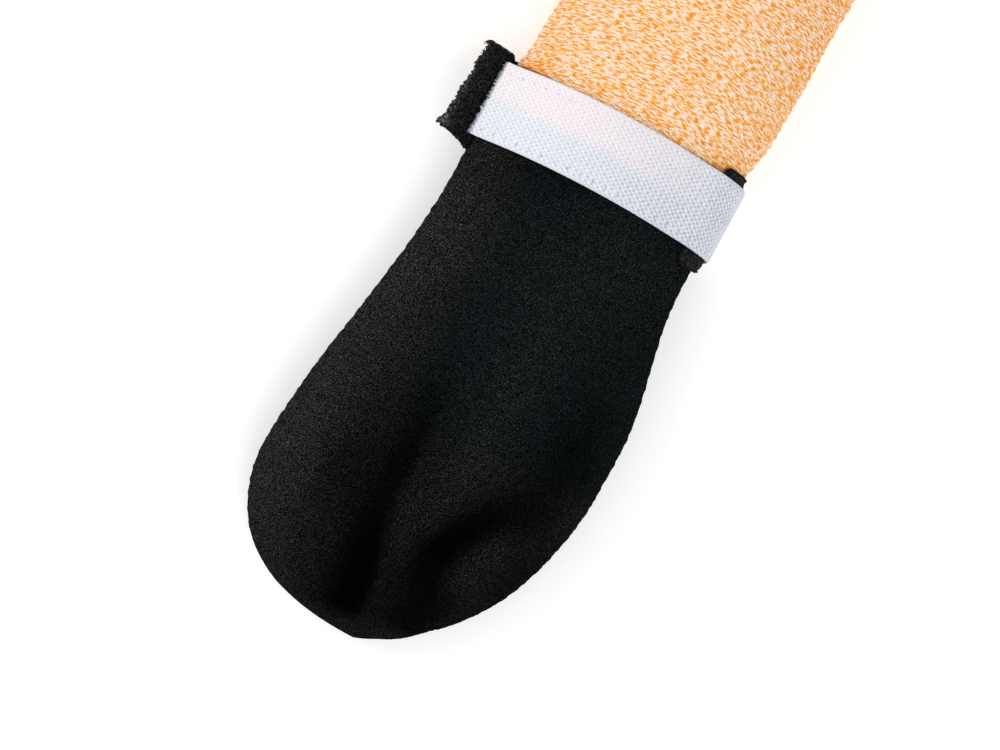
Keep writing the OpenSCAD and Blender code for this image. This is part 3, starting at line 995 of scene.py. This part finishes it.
def build_strap():
    """The strap in three runs, each with its tape, stitches and hooks; the splits fall midway between bends.
    """
    rng = np.random.default_rng(11)
    peel, first, second = (BEND_AT[a] for a in (PEEL_ANGLE, FIRST_BEND, SECOND_BEND))
    split_a, split_b = (peel + first) / 2, (first + second) / 2
    runs = (
        ("near", 0, split_a, "boot", "strap_near", peel, 4 * MM, "root", ["anchor"]),
        ("mid", split_a, split_b, "strap_near", "strap_mid", first, 11 * MM, "middle", []),
        ("far", split_b, TAPE_END, "strap_mid", "strap_far", second, 11 * MM, "tip", []),
    )
    for label, start, end, parent, child, bend, reach, node, sewn in runs:
        tape = tape_piece("tape_" + label, start, end)
        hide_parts("strap_" + node, *["strap_" + n for n in sewn])
        threads = thread_run("strap_thread_" + label, start, end)
        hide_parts("stitching_" + node, *[n + "_stitching" for n in sewn])
        hooks = hook_field("hook_strip_" + label, max(start, peel), end, rng)
        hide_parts("hooks_" + node)
        for piece in (tape, threads, hooks):
            bend_over(piece, bend, reach)
    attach(frayed_end("tape_fray", rng), "strap_far")


# ---- loop band and pull tab

BAND_FRONT = 35
BAND_TAIL = 172
TAB_SLOPE = 19
TAB_L = 9 * MM
PILE_H = 0.5 * MM
RIM = 0.7 * MM
YARN_R = 0.105 * MM
# Half the thickness of the slab that the loops stand on
SLAB = BAND_T / 2 - 0.25 * MM


def band_path():
    """Middle of the loop tape: from the right front round the back of the neck, then out along the tab.

    Also its length at the tab's fold and at the tab's cut end.
    """
    angles = np.linspace(BAND_FRONT, BAND_TAIL - 360, 900)
    x, z = neck_point(angles, BAND_GAP + BAND_T / 2)
    heading = math.radians(90)
    out = math.radians(180 - TAB_SLOPE)
    fold_r = 1.6 * MM
    spare = 2.8 * MM
    turn = np.linspace(heading, out, 24)[1:]
    fx = x[-1] - fold_r * math.sin(heading) + fold_r * np.sin(turn)
    fz = z[-1] + fold_r * math.cos(heading) - fold_r * np.cos(turn)
    tip = np.linspace(0, TAB_L + 2 * MM, 30)[1:]
    x = np.concatenate([x, fx, fx[-1] + tip * math.cos(out)])
    z = np.concatenate([z, fz, fz[-1] + tip * math.sin(out)])
    path = Path(x, z)
    return path, float(path.u[len(angles) - 1]), path.length - spare


BAND, FOLD_AT, TAB_END = band_path()


def rounded(from_end, radius):
    """How far a rounded corner cuts in, at a distance from the end of the tape."""
    near = np.clip(1 - from_end / radius, 0, 1)
    return radius * (1 - np.sqrt(1 - near ** 2))


def band_y(u, v):
    """Y of a point v across the loop tape, which lies towards the toe and has its cut corners rounded."""
    front = 1 - ramp(u, 4, 12)
    tip = ease((u - FOLD_AT) / TAB_L)
    low = (-1.7 - 1.1 * front + 1.7 * tip) * MM + rounded(u, 3 * MM)
    high = BAND_W + (-1.7 + 0.2 * front + 0.2 * tip) * MM
    high = high - rounded(u, 2.6 * MM) - rounded(TAB_END - u, 1.6 * MM)
    return BAND_Y + low + (high - low) * v / BAND_W


def tip_reach(v):
    """How far the pull tab's toothed cut end stands past its nominal length, across its width."""
    slant = 0.9 * MM * (1 - 2 * v / BAND_W)
    flare = 0.9 * MM * hump(v, 1, 2.4)
    teeth = 0.24 * MM * np.sin(2 * math.pi * v / (1.8 * MM))
    return slant + flare + teeth + 0.25 * MM * ripple(v, 0 * v, 5 * MM, 41) - 0.4 * MM


def tape_body(name, start, end, seed):
    """Closed strip of loop tape between two lengths; past the fold its end follows the toothed cut."""
    cols = max(int((end - start) / (0.7 * MM)), 8)
    step = 0.35 * MM if end == TAB_END else 0.8 * MM
    rows = int((BAND_W - 2 * RIM) / step)
    v, u = lattice(RIM, BAND_W - RIM, rows, start, end, cols)
    if end == TAB_END:
        u = u + tip_reach(v) * ((u - start) / (end - start)) ** 3
    from_cut = np.minimum(u + 0.1 * MM, np.maximum(TAB_END + tip_reach(v) - u, 0) + 0.1 * MM)
    edge = np.minimum(np.minimum(v, BAND_W - v) - RIM, from_cut)
    thin = SLAB * (1 - 0.75 * bell(edge, 0.7 * MM))
    lump = 0.18 * MM * ripple(u, v, 3 * MM, seed + 1)
    y = band_y(u, v)
    return closed_sheet(name, BAND.points(u, thin + lump, y), BAND.points(u, -thin + lump, y))


def pile_loops(start, end, density, rng, both):
    """Paths of small yarn loops on one or both faces of the loop tape; density is loops per square metre."""
    count = int((end - start) * (BAND_W - 2 * RIM) * density)
    u = rng.uniform(start, end, count)
    v = rng.uniform(RIM, BAND_W - RIM, count)
    face = np.where(rng.uniform(size=count) < 0.5, 1.0, -1.0) if both else np.ones(count)
    heading = rng.uniform(0, 2 * math.pi, count)
    size = rng.uniform(0.35, 0.6, count) * MM
    tall = rng.uniform(0.7, 1.15, count) * PILE_H
    turn = np.linspace(0, math.pi, 6)
    across = -np.outer(size, np.cos(turn))
    high = np.outer(tall, np.sin(turn))
    lu = u[:, None] + across * np.cos(heading)[:, None]
    lv = v[:, None] + across * np.sin(heading)[:, None]
    return BAND.points(lu, face[:, None] * (SLAB - 0.15 * MM + high), band_y(lu, lv))


def edge_loops(lengths, widths, out_u, out_v, rng):
    """Loops that stick out of an edge, at given lengths and widths, leaning out along (out_u, out_v)."""
    count = len(lengths)
    turn = np.linspace(0, math.pi, 7)
    size = rng.uniform(0.25, 0.5, count) * MM
    tall = rng.uniform(0.2, 0.6, count) * MM
    level = rng.uniform(-0.7, 0.7, count) * SLAB
    tilt = rng.uniform(-0.5, 0.5, count)
    across = -np.outer(size, np.cos(turn))
    far = np.outer(tall, np.sin(turn))
    lu = np.asarray(lengths)[:, None] + far * out_u + across * abs(out_v)
    lv = np.asarray(widths)[:, None] + far * out_v + across * abs(out_u)
    return BAND.points(lu, level[:, None] + tilt[:, None] * far, band_y(lu, lv))


def rim_loops(start, end, count, rng):
    """Loops along both long rims of the loop tape between two lengths."""
    u = rng.uniform(start, end, count)
    near = rng.uniform(size=count) < 0.5
    return [
        edge_loops(u[near], np.full(near.sum(), RIM), 0, -1, rng),
        edge_loops(u[~near], np.full((~near).sum(), BAND_W - RIM), 0, 1, rng),
    ]


def pile_piece(name, start, end, seed, groups):
    """Slab of loop tape with loops of yarn on it, as one mesh."""
    body = tape_body(name, start, end, seed)
    merge(body, tube_object(name + "_loops", groups, YARN_R, 4))
    return body


def build_band():
    rng = np.random.default_rng(21)
    split = FOLD_AT - 6 * MM
    front = 20 * MM
    at_cut = rng.uniform(RIM, BAND_W - RIM, 300)
    at_front = rng.uniform(RIM, BAND_W - RIM, 90)
    groups = [
        pile_loops(0.4 * MM, front, 4.2e6, rng, False),
        pile_loops(front, split - 0.3 * MM, 1.4e6, rng, False),
        edge_loops(np.full(90, 0.4 * MM), at_front, -1, 0, rng),
        *rim_loops(0.5 * MM, front, 340, rng),
        *rim_loops(front, split, 420, rng),
    ]
    fit(pile_piece("loop_band_pile", 0, split, 31, groups), "loop_pile", "boot", "loop_band")

    groups = [
        pile_loops(split, TAB_END - 0.6 * MM, 4.4e6, rng, True),
        edge_loops(TAB_END + tip_reach(at_cut) - 0.15 * MM, at_cut, 1, 0, rng),
        *rim_loops(split, TAB_END, 340, rng),
    ]
    tab = dress(pile_piece("pull_tab_pile", split, TAB_END, 41, groups), "loop_pile")
    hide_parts("pull_tab")
    fold_x, fold_z = BAND.at(FOLD_AT, 0)
    end_x, end_z = BAND.at(FOLD_AT + 3.4 * MM, 0)
    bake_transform(tab)


# ---- knitted sleeve

WALE = 1.3 * MM
COURSE = 0.74 * MM
SLEEVE_END = sleeve_hi.y - TOE_Y
SLEEVE_START = sleeve_lo.y - TOE_Y
SLEEVE_INSIDE = SHELL_T + LAYER_GAP + HEM_T + 0.5 * MM
SLEEVE_OUTSIDE = 0.6 * MM
SLEEVE_DRIFT = 4.3 * MM
SWELL = 0.8 * MM
COURSE_ARCH = 5.5 * MM
SLEEVE_SEAM = 270
STITCH_RISE = 0.11 * MM


def sleeve_inset(s):
    """How far inside the neck's outline the sleeve lies at a station."""
    swollen = ramp(s - BOOT_L, 0.1, 2.2)
    puffed = ramp(s - BOOT_L, 6, 13)
    return SLEEVE_INSIDE + (SLEEVE_OUTSIDE - SLEEVE_INSIDE) * swollen - SWELL * puffed


def sleeve_crown(s, angle):
    """Extra swell of the top of the sleeve right behind the strap."""
    return 0.9 * MM * ramp(s - BOOT_L, 2, 6) * np.maximum(np.sin(np.radians(angle)), 0)


def sleeve_shift(s):
    """How far the sleeve drifts to the right as it leaves the boot."""
    return SLEEVE_DRIFT * (1 - np.exp(-np.maximum(s - BOOT_L - 0.3 * MM, 0) / (11 * MM)))


def course_arch(s, x):
    """How far a course bows back towards the foot at the sides: it follows the edge of the strap."""
    shown = ramp(s, 150, 24) * ease((SLEEVE_END - 4 * MM - s) / (34 * MM))
    return -COURSE_ARCH * shown * np.minimum((x / NECK_LEFT) ** 2, 1.1)


def sleeve_ring(s, share, inward):
    """Point of the sleeve at a station and a share of the way round, measured along its outline."""
    fine = np.linspace(SLEEVE_SEAM, SLEEVE_SEAM + 360, AROUND)
    x, z = neck_point(fine, 0.0)
    length = distances(x, z)
    angle = np.interp(share * length[-1], length, fine)
    x, z = neck_point(angle, 0.0)
    s = s + course_arch(s, x)
    inset = sleeve_inset(s) - sleeve_crown(s, angle) + inward
    ax, az = neck_point(angle + 0.25, 0.0)
    tx, tz = ax - x, az - z
    size = np.hypot(tx, tz)
    soft = 0.5 * MM * ripple(share * 180 * MM, s, 55 * MM, 8) * ramp(s - BOOT_L, 6, 20)
    x = x - tz / size * (inset - soft) + sleeve_shift(s)
    z = z + tx / size * (inset - soft)
    return x, TOE_Y + s, z


def marl_values(courses, legs, rng):
    """Share of orange in each stitch leg: a course's yarn turns over between its colours in short runs."""
    switch_to_white, switch_to_orange = 0.42, 0.5
    draws = rng.uniform(size=(courses, legs))
    orange = np.zeros((courses, legs))
    state = rng.uniform(size=courses) < 0.5
    for k in range(legs):
        turn = draws[:, k] < np.where(state, switch_to_white, switch_to_orange)
        state = state ^ turn
        orange[:, k] = state
    value = 0.12 + 0.72 * orange + 0.13 * rng.normal(size=orange.shape)
    return 0.5 * value + 0.3 * np.roll(value, 1, 1) + 0.2 * np.roll(value, -1, 1)


PER_WALE = 4
PER_COURSE = 2


def side_bumps(s, share):
    """How far the courses stand proud along both side edges of the sleeve."""
    x = sleeve_ring(s, share, 0.0)[0] - sleeve_shift(s)
    at_side = ease((np.abs(x) - NECK_RIGHT + 7 * MM) / (6 * MM))
    bumps = wave(s, 4 * COURSE) + 0.5 * ripple(s, 0 * s, 5 * MM, 54)
    return 0.2 * MM * at_side * bumps


def marl_by_place(marl, x, s):
    """Marl values, evened out a little, and warmer at the side edges and beside the cuff."""
    right_edge = ramp(x, 31, 12)
    left_edge = ramp(-x, 24, 12)
    beside_cuff = hump(s - BOOT_L, 5, 3) * ramp(np.abs(x), 24, 8)
    return 0.48 + 0.68 * (marl - 0.47) + 0.22 * right_edge + 0.08 * left_edge + 0.45 * beside_cuff


def knit_tube(name, first, last, seed, end_rows=10):
    """Jersey tube with every stitch leg raised, its outer face on the sleeve and a plain inner face."""
    rng = np.random.default_rng(seed)
    x, z = neck_point(np.linspace(0, 360, AROUND), 0.0)
    perimeter = np.hypot(np.diff(x), np.diff(z)).sum()
    wales = int(perimeter / WALE)
    courses = int((last - first) / COURSE)
    cols = wales * PER_WALE
    rows = courses * PER_COURSE + 1
    i, j = np.meshgrid(np.arange(rows), np.arange(cols), indexing="ij")
    s = first + (last - first) * i / (rows - 1)
    share = j / cols
    across = (j % PER_WALE) / PER_WALE
    slant = np.abs(across - 0.5) * 2
    phase = i / PER_COURSE + 0.55 * slant
    relief = 0.55 * wave(phase - 0.5, 1) + 0.45 * wave(across - 0.25, 0.5)
    outer = xyz(*sleeve_ring(s, share, -STITCH_RISE * relief - side_bumps(s, share)))
    inner_s = np.linspace(first, last, end_rows)[:, None]
    inner = xyz(*sleeve_ring(*np.broadcast_arrays(inner_s, share[:1]), KNIT_T - 0.2 * MM))
    piece = closed_sheet(name, outer, inner, wrap=True)
    marl = marl_values(courses + 2, wales * 2, rng)
    course = np.clip(np.floor(phase), 0, courses + 1).astype(int)
    column = (j // PER_WALE) * 2 + (across >= 0.5)
    store(piece, "marl", marl_by_place(marl[course, column], outer[..., 0], s), 0.45)
    store(piece, "across", share * perimeter / (2.0 * MM))
    store(piece, "along", (first / COURSE + phase - 0.36 * slant) * COURSE / (0.48 * MM))
    store(piece, "relief", relief)
    return piece


def build_sleeve():
    join = BOOT_L - 2 * MM
    upper_join = BOOT_L + 66 * MM
    runs = (
        ("knit_sleeve_foot", SLEEVE_START, join, 52, 8),
        ("knit_sleeve_cuff", join, upper_join, 51, 4),
        ("knit_sleeve_leg", upper_join, SLEEVE_END, 53, 4),
    )
    for name, first, last, seed, end_rows in runs:
        fit(knit_tube(name, first, last, seed, end_rows), "marl_knit", "sleeve", "knit_sleeve")


# ---- sole, hems and the other stitches

PATCH_HALF_W = (patch_hi.x - patch_lo.x) / 2
PATCH_HALF_L = (patch_hi.y - patch_lo.y) / 2
# How square the patch's oval is: 2 is an ellipse
SQUARENESS = 2.6
THREAD_R = 0.2 * MM
STITCH_L = 2.6 * MM


def patch_outline(margin, count=180):
    """Closed outline of the sole patch, grown by a margin, as x and y."""
    a = np.linspace(0, 2 * math.pi, count, endpoint=False)
    x = np.sign(np.cos(a)) * (PATCH_HALF_W + margin) * np.abs(np.cos(a)) ** (2 / SQUARENESS)
    y = np.sign(np.sin(a)) * (PATCH_HALF_L + margin) * np.abs(np.sin(a)) ** (2 / SQUARENESS)
    return x, y


def stack_of_rings(rings):
    """Points and faces of closed rings stacked on one another, capped at both ends."""
    grid = np.stack([xyz(*ring) for ring in rings])
    rows, cols = grid.shape[:2]
    loop = np.arange(cols)
    sides = grid_quads(rows, cols, True)[:, ::-1]
    return grid.reshape(-1, 3), [sides, loop[::-1][None], ((rows - 1) * cols + loop)[None]]


def build_sole_patch():
    """Rubber patch with a rounded edge."""
    under, over = patch_lo.z, patch_hi.z
    profile = ((-0.9, 0.0), (-0.45, 0.06), (-0.12, 0.25), (0.0, 0.6), (0.0, 1.2), (-0.2, 1.55))
    rings = [(*patch_outline(margin * MM), under + up * MM) for margin, up in profile]
    rings.append((*patch_outline(-0.4 * MM), over))
    patch = mesh_object("sole_patch_rubber", *stack_of_rings(rings))
    fit(patch, "sole_rubber", "boot", "sole_patch")


def build_grip_studs():
    """Staggered studs with rounded feet and a shallow dimple, kept clear of the patch's rim."""
    pitch, root, rim = 10 * MM, 2.6 * MM, 6 * MM
    turn = np.linspace(0, 2 * math.pi, 28, endpoint=False)
    profile = (
        (0.25, 0.22), (0.5, 0.12), (0.7, 0.0), (0.8, 0.03),
        (0.88, 0.2), (0.95, 0.7), (1.0, 1.3), (1.12, 1.7),
    )
    parts = []
    for row in range(-6, 7):
        for column in range(-3, 4):
            x = (column + (abs(row) % 2) / 2) * pitch
            y = row * pitch * math.sqrt(3) / 2
            across, along = abs(x) / (PATCH_HALF_W - rim), abs(y) / (PATCH_HALF_L - rim)
            if across ** SQUARENESS + along ** SQUARENESS > 1:
                continue
            rings = [(x + root * k * np.cos(turn), y + root * k * np.sin(turn), up * MM) for k, up in profile]
            parts.append(stack_of_rings(rings))
    fit(mesh_object("grip_studs_rubber", *joined(parts)), "sole_rubber", "boot", "grip_studs")


def stitch_paths(points, normals, pitch):
    """Paths of stitches along a line of points, each arched away from the surface along its normal."""
    points, normals = np.asarray(points, float), np.asarray(normals, float)
    along = np.concatenate([[0], np.cumsum(np.linalg.norm(np.diff(points, axis=0), axis=1))])
    count = max(int(along[-1] / pitch), 1)
    step = along[-1] / count
    share = np.linspace(0, 1, 9)
    paths = []
    for k in range(count):
        at = (k + 0.5) * step + (share - 0.5) * STITCH_L
        place = xyz(*(np.interp(at, along, points[:, c]) for c in range(3)))
        out = xyz(*(np.interp(at, along, normals[:, c]) for c in range(3)))
        height = 0.38 * MM * np.sin(math.pi * share) ** 0.5 - 0.2 * MM
        paths.append(place + out * height[:, None])
    return np.stack(paths)


def sew(name, rows, slot, body, node):
    fit(tube_object(name, rows, THREAD_R, 6), slot, body, node)


def build_sole_stitches():
    x, y = patch_outline(-2.2 * MM, 240)
    x, y = np.append(x, x[0]), np.append(y, y[0])
    line = xyz(x, y, patch_lo.z)
    down = np.tile([0.0, 0.0, -1.0], (len(line), 1))
    rows = [stitch_paths(line, down, STITCH)]
    sew("sole_thread", rows, "black_thread", "boot", "sole_stitching")


def build_band_stitches():
    rows = []
    angles = np.linspace(ANCHOR_FOOT - 4, -170, 300)
    for edge in (3.3 * MM, BAND_W - 10.7 * MM):
        x, z = neck_point(angles, BAND_GAP + BAND_T)
        nx, nz = neck_point(angles, BAND_GAP + BAND_T + 1 * MM)
        out = xyz(nx - x, 0, nz - z)
        out = out / np.linalg.norm(out, axis=1, keepdims=True)
        rows.append(stitch_paths(xyz(x, BAND_Y + edge, z), out, STITCH))
    sew("band_thread", rows, "black_thread", "boot", "band_stitching")


def build_bar_tack():
    tack_lo, tack_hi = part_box("tab_bar_tack")
    tacks = []
    for k in range(10):
        y = tack_lo.y + THREAD_R + k * STITCH_L
        face = tack_hi.x + 0.05 * MM
        line = [(face, y, tack_lo.z), (face, y, (tack_lo.z + tack_hi.z) / 2), (face, y, tack_hi.z)]
        tacks.append(stitch_paths(line, np.tile([-1.0, 0.0, 0.0], (3, 1)), STITCH_L))
    sew("bar_tack_thread", tacks, "black_thread", "boot", "tab_bar_tack")


def build_hem_stitches():
    share = np.linspace(0, 1, 500)
    s = np.full(share.shape, SLEEVE_END - 12 * MM)
    line = xyz(*sleeve_ring(s, share, -0.05 * MM))
    out = xyz(*sleeve_ring(s, share, -1.05 * MM)) - line
    rows = [stitch_paths(line, out / (1 * MM), STITCH)]
    sew("hem_thread", rows, "orange_hem", "sleeve", "hem_stitching")


HEM_COLS = 720
CUFF_RIBS = 90
SLEEVE_RIBS = 140


def neck_ring(name, inset, thickness, start, width, rib):
    """Closed band inside the cuff with fine ribs along its length."""
    rows = max(int(width / (0.5 * MM)), 4)
    angles = np.linspace(0, 360, HEM_COLS, endpoint=False)
    y, angle = np.meshgrid(TOE_Y + start + np.linspace(0, width, rows), angles, indexing="ij")
    ribs = rib * np.cos(np.radians(angle * CUFF_RIBS)) + 0.5 * rib * wave(y, 1.3 * MM)
    x, z = neck_point(angle, -inset + np.minimum(ribs, 0.05 * MM))
    outer = xyz(x, y, z)
    x, z = neck_point(angle, -inset - thickness + ribs)
    return closed_sheet(name, outer, xyz(x, y, z), wrap=True)


def sleeve_band(name, inward, thickness, start, width, rib):
    """Closed band that follows the inside of the sleeve, with fine ribs."""
    rows = max(int(width / (0.45 * MM)), 4)
    share = np.linspace(0, 1, HEM_COLS, endpoint=False)
    s, share = np.meshgrid(start + np.linspace(0, width, rows), share, indexing="ij")
    ribs = rib * np.cos(2 * math.pi * share * SLEEVE_RIBS) + 0.4 * rib * wave(s, 1.2 * MM)
    outer = xyz(*sleeve_ring(s, share, inward - np.minimum(ribs, 0)))
    inner = xyz(*sleeve_ring(s, share, inward + thickness + ribs))
    return closed_sheet(name, outer, inner, wrap=True)


def build_hems():
    cuff_w = 12 * MM
    cuff = neck_ring("cuff_hem_nap", SHELL_T + LAYER_GAP, HEM_T, BOOT_L - cuff_w, cuff_w, 0.06 * MM)
    # the cuff hem takes a fixed share of painted light
    store(cuff, "painted_nap_light", np.full(1, 0.3), 0.3)
    inward = KNIT_T + LAYER_GAP
    foot = sleeve_band("foot_hem_rib", inward, 1.0 * MM, SLEEVE_START + 0.5 * MM, 8 * MM, 0.12 * MM)
    elastic = sleeve_band("elastic_braid", inward, 0.9 * MM, SLEEVE_END - 11 * MM, 8 * MM, 0.1 * MM)
    inward = KNIT_T + 0.9 * MM + 2 * LAYER_GAP
    leg = sleeve_band("leg_hem_rib", inward, 1.0 * MM, SLEEVE_END - 13 * MM, 12.7 * MM, 0.14 * MM)
    fit(cuff, "napped_shell", "boot", "cuff_hem")
    fit(foot, "orange_hem", "sleeve", "foot_hem")
    fit(elastic, "elastic", "sleeve", "hem_elastic")
    fit(leg, "orange_hem", "sleeve", "leg_hem")


def build_seam_tapes():
    """Narrow tapes over the inside of both side seams."""
    parts = []
    spread = 9.5
    for middle in (4.5, 175.5):
        s, angle = lattice(30 * MM, 150 * MM, 160, middle - spread, middle + spread, 12)
        rib = 0.05 * MM * wave(s, 1.5 * MM)
        sides = []
        for inset in (SHELL_T + LAYER_GAP, SHELL_T + LAYER_GAP + 0.5 * MM + rib):
            x, z = ring_point(s, angle, inset)
            sides.append(xyz(x, TOE_Y + s, z))
        parts.append(closed_sheet("seam_tape_woven", *sides))
    merge(*parts)
    fit(parts[0], "black_thread", "boot", "seam_tape")


# ---- floor, light and camera

def build_floor():
    corner = 1.5
    level = -0.2 * MM
    corners = xyz(np.array([-1, 1, 1, -1]) * corner, np.array([-1, -1, 1, 1]) * corner, level)
    floor = mesh_object("floor", corners, [np.array([[0, 1, 2, 3]])], smooth=False)
    m = Nodes("pale_floor", roughness=0.9)
    m.colour(m.mix(m.noise(6, 2), rgb(250, 250, 250), rgb(254, 254, 254)))
    # lit a little from within, like a light table
    m.set("Emission Color", rgb(255, 255, 255))
    m.set("Emission Strength", 0.2)
    # seen from below the floor is clear, so that the sole can be looked at
    backs = m.add("ShaderNodeNewGeometry").outputs["Backfacing"]
    m.set("Alpha", m.maths("SUBTRACT", 1.0, backs))
    floor.data.materials.append(m.material)


def add_light(name, place, size, power):
    lamp = bpy.data.lights.new(name, "AREA")
    lamp.shape = "DISK"
    lamp.size = size
    lamp.energy = power
    holder = bpy.data.objects.new(name, lamp)
    holder.location = place
    target = Vector((0, 30 * MM, 20 * MM))
    holder.rotation_mode = "QUATERNION"
    holder.rotation_quaternion = (Vector(place) - target).to_track_quat("Z", "Y")
    bpy.context.scene.collection.objects.link(holder)


def build_light():
    world = bpy.data.worlds.new("studio")
    bpy.context.scene.world = world
    world.use_nodes = True
    world.node_tree.nodes["Background"].inputs["Color"].default_value = (1, 1, 1, 1)
    world.node_tree.nodes["Background"].inputs["Strength"].default_value = 0.64
    add_light("key", (-0.95, 0.33, 0.72), 0.9, 6.2)
    add_light("fill", (0.6, -0.3, 1.0), 1.2, 6.5)


def build_camera():
    """Camera straight above, turned so that the toe points to the lower left."""
    optics = bpy.data.cameras.new("camera")
    optics.sensor_width = 36
    height = 0.75
    view_width = 0.305
    optics.lens = optics.sensor_width * (height - SEAM_Z) / view_width
    camera = bpy.data.objects.new("camera", optics)
    aim = (1.8 * MM, TOE_Y + 92.9 * MM, height)
    roll = math.radians(28.4)
    camera.matrix_world = Matrix.Translation(aim) @ Matrix.Rotation(roll, 4, "Z")
    bpy.context.scene.collection.objects.link(camera)
    bpy.context.scene.camera = camera
    bpy.context.scene.view_settings.view_transform = "Standard"


build_shell()
build_strap()
build_band()
build_sleeve()
build_sole_patch()
build_grip_studs()
build_sole_stitches()
build_band_stitches()
build_bar_tack()
build_hem_stitches()
build_hems()
build_seam_tapes()
build_floor()
build_light()
build_camera()
